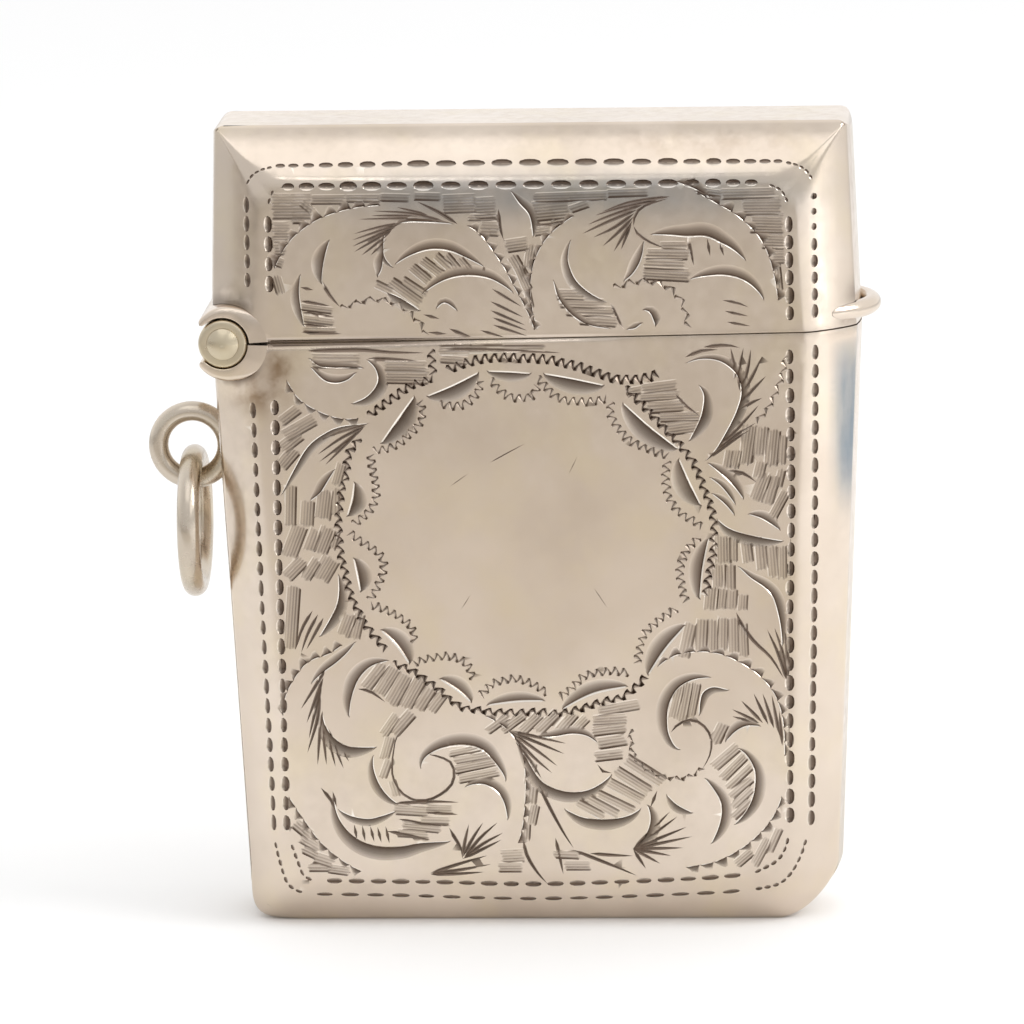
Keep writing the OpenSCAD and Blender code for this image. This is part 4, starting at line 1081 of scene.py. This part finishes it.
def bearer(name, first, last, channel, tip):
    """A bearer: a section with rounded corners between the channel and the outer circle, carried round
    the hinge; its shoulder is sharp beside the panel and rounder away from it, and the tip closes as a
    quarter circle."""
    turn = np.linspace(math.radians(first), math.radians(last), 61)
    shift = NOTCH[0] - HINGE_AT[0]
    outer = shift * np.cos(turn) + np.sqrt((NOTCH_R - 0.02) ** 2 - (shift * np.sin(turn)) ** 2)
    beside = smooth(np.clip((np.degrees(np.arccos(np.cos(turn))) - 25) / 50, 0, 1))
    outer = outer + 0.07 * (1 - beside)
    shoulder = np.minimum(0.04 + 0.34 * beside, 0.48 * (outer - channel))
    lead, tip_turn = np.full(len(turn), 0.06), 0.16
    r, y = rounded_section(channel, outer, BEARER_FACE - 0.1 * beside, lead, shoulder, 7)
    end = turn[0] if tip == "first" else turn[-1]
    rest = 1 - np.clip(np.abs(turn - end) / tip_turn, 0, 1)
    close = np.sqrt(np.maximum(1 - rest * rest, 0.0004))
    middle = ((channel + outer) / 2)[:, None]
    return round_hinge(name, middle + (r - middle) * close[:, None], y, turn, False)


def knuckle(name, middle, bore):
    """A length of tube on the pin: a section with rounded corners carried once round."""
    turn = np.linspace(0, 2 * math.pi, 64, endpoint=False)
    wall, half, round_in, round_out = (np.full(len(turn), size) for size in (1.36, 0.87, 0.05, 0.2))
    r, y = rounded_section(bore, wall, half, round_in, round_out, 6)
    return round_hinge(name, r, y + middle, turn, True)


# Finishes
def new_finish(name):
    """A new material, its nodes and its shader."""
    material = bpy.data.materials.new(name)
    material.use_nodes = True
    return material, material.node_tree, material.node_tree.nodes["Principled BSDF"]


def ramp(tree, value, low, high, to_low, to_high, kind="LINEAR"):
    """A value that goes from one number to another while its source goes from low to high."""
    node = tree.nodes.new("ShaderNodeMapRange")
    node.interpolation_type = kind
    for key, number in (("From Min", low), ("From Max", high), ("To Min", to_low), ("To Max", to_high)):
        node.inputs[key].default_value = number
    tree.links.new(value, node.inputs["Value"])
    return node.outputs["Result"]


def eased(tree, value, low, high, to_low, to_high):
    """The same with a soft start and end."""
    return ramp(tree, value, low, high, to_low, to_high, "SMOOTHSTEP")


def joined(tree, way, a, b):
    """Two values put together: multiplied, or the greater of them."""
    node = tree.nodes.new("ShaderNodeMath")
    node.operation = way
    tree.links.new(a, node.inputs[0])
    tree.links.new(b, node.inputs[1])
    return node.outputs["Value"]


def mixed(tree, factor, a, b):
    """Two colours, each plain or from other nodes, mixed by a factor."""
    node = tree.nodes.new("ShaderNodeMix")
    node.data_type = "RGBA"
    tree.links.new(factor, node.inputs[0])
    for socket, colour in ((node.inputs[6], a), (node.inputs[7], b)):
        if isinstance(colour, tuple):
            socket.default_value = (*colour, 1)
        else:
            tree.links.new(colour, socket)
    return node.outputs[2]


def axes_of(tree, source):
    """The x, y and z of a set of coordinates."""
    where = tree.nodes.new("ShaderNodeTexCoord")
    parts = tree.nodes.new("ShaderNodeSeparateXYZ")
    tree.links.new(where.outputs[source], parts.inputs["Vector"])
    return parts.outputs


def noise(tree, scale, detail, stretch=(1, 1, 1)):
    """A cloudy pattern fixed to the piece, turned a little and stretched along its axes."""
    where = tree.nodes.new("ShaderNodeTexCoord")
    turn = tree.nodes.new("ShaderNodeMapping")
    turn.inputs["Scale"].default_value = stretch
    turn.inputs["Rotation"].default_value = (0.3, 0.5, 0.7)
    tree.links.new(where.outputs["Object"], turn.inputs["Vector"])
    cloud = tree.nodes.new("ShaderNodeTexNoise")
    cloud.inputs["Scale"].default_value = scale
    cloud.inputs["Detail"].default_value = detail
    tree.links.new(turn.outputs["Vector"], cloud.inputs["Vector"])
    return cloud.outputs["Fac"]


def drawn(tree, name):
    """A value that the mesh carries on its face corners."""
    node = tree.nodes.new("ShaderNodeAttribute")
    node.attribute_name = name
    return node.outputs["Fac"]


# blue grey of the painted reflection on the thumb side and along the top of the lid
BLUE_PAINTED_REFLECTION = (0.215, 0.262, 0.303)
BROWN_STAIN = (0.32, 0.225, 0.145)
# a painted highlight on the lips of the cuts
PAINTED_LIP_HIGHLIGHT = (0.95, 0.9, 0.83)
# patina and painted shade in the cuts
CUT_PATINA_AND_PAINTED_SHADE = (0.08, 0.05, 0.034)
STRAW = (0.98, 0.97, 0.84)


def silver(name, colour, tarnish, rough):
    """Old silver: clean metal clouded by warm tarnish, with stains and a painted blue-grey reflection, dark
    in the cuts with patina and painted shade and bright on their lips as a painted highlight, with fine
    hair scratches.
    """
    material, tree, shader = new_finish(name)
    shader.inputs["Metallic"].default_value = 1.0
    cut, painted_reflection_and_stain = drawn(tree, "tone"), drawn(tree, "painted_reflection_and_stain")
    cloud = ramp(tree, noise(tree, 160, 4), 0.35, 0.7, 0, 1)
    straw = ramp(tree, noise(tree, 330, 3, (1, 1.4, 0.8)), 0.48, 0.72, 0, 0.5)
    yellowed = tuple(c * k for c, k in zip(colour, STRAW))
    base = mixed(tree, straw, mixed(tree, cloud, colour, tarnish), yellowed)
    streaks = ramp(tree, noise(tree, 800, 4, (1, 1, 0.3)), 0.38, 0.62, 0.75, 1)
    blotches = ramp(tree, noise(tree, 900, 6), 0.4, 0.62, 0.25, 1)
    # the painted blue-grey reflection, streaked
    above = joined(tree, "MULTIPLY", ramp(tree, painted_reflection_and_stain, 0, 1, 0, 1), streaks)
    below = joined(tree, "MULTIPLY", ramp(tree, painted_reflection_and_stain, 0, -1, 0, 1), blotches)
    toned = mixed(tree, below, mixed(tree, above, base, BLUE_PAINTED_REFLECTION), BROWN_STAIN)
    # painted highlight where the tone is below nought
    lip_highlighted = mixed(tree, ramp(tree, cut, 0, -1, 0, 1), toned, PAINTED_LIP_HIGHLIGHT)
    # patina and painted shade in the cuts, and painted shade with some soiling at the seam and hinge
    darkened = mixed(tree, ramp(tree, cut, 0, 1, 0, 0.95), lip_highlighted, CUT_PATINA_AND_PAINTED_SHADE)
    tree.links.new(darkened, shader.inputs["Base Color"])
    fine = ramp(tree, noise(tree, 1500, 5), 0.3, 0.7, rough - 0.05, rough + 0.07)
    tree.links.new(fine, shader.inputs["Roughness"])
    bump = tree.nodes.new("ShaderNodeBump")
    bump.inputs["Strength"].default_value = 0.12
    bump.inputs["Distance"].default_value = 0.02 * MM
    tree.links.new(noise(tree, 2500, 3, (1, 1, 0.03)), bump.inputs["Height"])
    tree.links.new(bump.outputs["Normal"], shader.inputs["Normal"])
    return material


SILVER = silver("old_silver", (0.735, 0.635, 0.54), (0.645, 0.548, 0.455), 0.2)
WORN = silver("worn_silver", (0.5, 0.44, 0.36), (0.4, 0.33, 0.26), 0.36)
WIRE = silver("wire_silver", (0.66, 0.585, 0.495), (0.47, 0.4, 0.32), 0.24)
HINGE = silver("hinge_silver", (0.66, 0.575, 0.44), (0.52, 0.45, 0.33), 0.3)


# Pieces
def dress(piece, node, body, finish):
    """Gives a piece its finish and its body, in place of the plain solid."""
    piece.data.materials.append(finish)
    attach(piece, body)
    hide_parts(node)


MITRES = [mitre(side, ratio) for side in (-1, 1) for ratio in (0.58, 0.72, 0.86, 1, 1.16, 1.39, 1.72)]
LID_CREASES = MITRES + level_lines(lid_share, lid_room, (0, 35.5), -0.2, math.pi + 0.2) + seam_lines(1)
BODY_CREASES = level_lines(body_share, body_room, (0, 18.0), -math.pi - 0.75, 0.75) + seam_lines(-1)
for node, side in (("body_front", -1), ("body_back", 1)):
    shell = engraved_shell(node, side, body_height, body_room, BODY_STROKES, BODY_CREASES)
    dress(shell, node, "case", SILVER)
for node, side in (("lid_front", -1), ("lid_back", 1)):
    shell = engraved_shell(node, side, lid_height, lid_room, LID_STROKES, LID_CREASES)
    dress(shell, node, "lid", SILVER)
dress(bearer("lid_bearer_soldered", 3.2, 140, 1.47, "last"), "lid_bearer", "lid", SILVER)
dress(bearer("body_bearer_soldered", 218, 358.6, 1.39, "first"), "body_bearer", "case", SILVER)
END_BORE, MIDDLE_BORE = 0.862, 0.9
for name, place, bore, node, body in (("front_knuckle", -2, END_BORE, "body_knuckle_front", "case"),
                                      ("second_knuckle", -1, MIDDLE_BORE, "lid_knuckle_front", "lid"),
                                      ("middle_knuckle", 0, MIDDLE_BORE, "body_knuckle_middle", "case"),
                                      ("fourth_knuckle", 1, MIDDLE_BORE, "lid_knuckle_back", "lid"),
                                      ("back_knuckle", 2, END_BORE, "body_knuckle_back", "case")):
    dress(knuckle(name, place * KNUCKLE_PITCH, bore), node, body, HINGE)
KEPT = {"striker_plate": WORN, "mouth_bezel": WORN, "suspension_eye": WIRE, "jump_ring": WIRE,
        "hinge_pin": HINGE}
for name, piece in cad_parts.items():
    piece.data.materials.clear()
    piece.data.materials.append(KEPT.get(name, SILVER))


# Floor, light and camera
def floor_sheet():
    """A wide flat sheet, white round the case and on the right, with painted shade: it greys softly and
    warmly towards the viewer and left, and a little far out on the right, so that the silver reflects a
    darker room there."""
    half = 3.0
    corners = [(-half, -half, 0), (half, -half, 0), (half, half, 0), (-half, half, 0)]
    mesh = bpy.data.meshes.new("floor")
    mesh.from_pydata(corners, [], [(0, 1, 2, 3)])
    material, tree, shader = new_finish("paper")
    shader.inputs["Roughness"].default_value = 0.9
    shader.inputs["Specular IOR Level"].default_value = 0.1
    x, y, _ = axes_of(tree, "Object")
    right = eased(tree, x, 0.022, 0.06, 0, 1)
    near = eased(tree, y, -0.075, -0.028, 0, 1)
    white = joined(tree, "MAXIMUM", near, right)
    # painted shade: warm grey in front of the case, out of the picture
    paper = mixed(tree, white, (0.69, 0.655, 0.61), (0.95, 0.95, 0.95))
    # painted shade, darker towards the viewer, on the left and far out on the right
    front = joined(tree, "MAXIMUM", eased(tree, y, -0.2, -0.1, 0.75, 1.0), right)
    left = eased(tree, x, -0.2, -0.13, 0.72, 1.0)
    beside = joined(tree, "MULTIPLY", eased(tree, x, 0.12, 0.19, 0, 1), eased(tree, y, -0.09, -0.02, 0, 1))
    sides = joined(tree, "MULTIPLY", left, eased(tree, beside, 0, 1, 1, 0.78))
    shade = tree.nodes.new("ShaderNodeVectorMath")
    shade.operation = "SCALE"
    tree.links.new(paper, shade.inputs[0])
    tree.links.new(joined(tree, "MULTIPLY", front, sides), shade.inputs["Scale"])
    tree.links.new(shade.outputs["Vector"], shader.inputs["Base Color"])
    mesh.materials.append(material)
    placed("floor", mesh)


def softbox(name, place, aim, width, height, power):
    """A rectangular lamp at a place, turned to a point."""
    lamp = bpy.data.lights.new(name, "AREA")
    lamp.shape = "RECTANGLE"
    lamp.size, lamp.size_y = width, height
    lamp.energy = power
    holder = placed(name, lamp)
    holder.location = place
    holder.rotation_euler = (Vector(aim) - Vector(place)).to_track_quat("-Z", "Y").to_euler()


def studio():
    """A pale room, brighter behind the case, with a large lamp high in front, a narrow one beside it, two
    on the right and a small card low on the right."""
    world = bpy.data.worlds.new("room")
    bpy.context.scene.world = world
    world.use_nodes = True
    tree = world.node_tree
    room = tree.nodes["Background"]
    room.inputs["Color"].default_value = (1, 1, 1, 1)
    depth = eased(tree, axes_of(tree, "Generated")["Y"], -0.6, 0.6, 0.78, 1.12)
    tree.links.new(depth, room.inputs["Strength"])
    softbox("front", (-0.06, -0.48, 0.76), (0, 0, 0.03), 0.6, 0.5, 0.62)
    softbox("corner", (0.4, -0.47, 0.37), (0.017, 0, 0.043), 0.3, 0.3, 0.2)
    softbox("streak", (-0.085, -0.68, 0.44), (0, 0, 0.04), 0.035, 0.14, 0.06)
    softbox("right", (0.3, -0.08, 0.25), (0.1, -0.03, 0), 0.2, 0.2, 0.6)
    softbox("card", (0.148, -0.068, 0.012), (0.017, -0.004, 0.012), 0.026, 0.016, 0.0011)


def viewpoint():
    """Camera at a distance from the aim along azimuth and elevation, with the picture turned by the
    roll."""
    azimuth, elevation, roll = (math.radians(a) for a in (3.93, 12.11, -1.168))
    aim = Vector((-1.571, 0, 22.70)) * MM
    distance = 400 * MM
    level = math.cos(elevation)
    back = Vector((math.sin(azimuth) * level, -math.cos(azimuth) * level, math.sin(elevation)))
    right = Vector((math.cos(azimuth), math.sin(azimuth), 0))
    up = back.cross(right)
    across = math.cos(roll) * right + math.sin(roll) * up
    upward = math.cos(roll) * up - math.sin(roll) * right
    data = bpy.data.cameras.new("view")
    data.sensor_width = 36
    data.lens = 252.7
    data.clip_start = 0.01
    camera = placed("view", data)
    turn = Matrix((across, upward, back)).transposed().to_4x4()
    camera.matrix_world = Matrix.Translation(aim + back * distance) @ turn
    bpy.context.scene.camera = camera


floor_sheet()
studio()
viewpoint()
bpy.context.scene.view_settings.view_transform = "Standard"
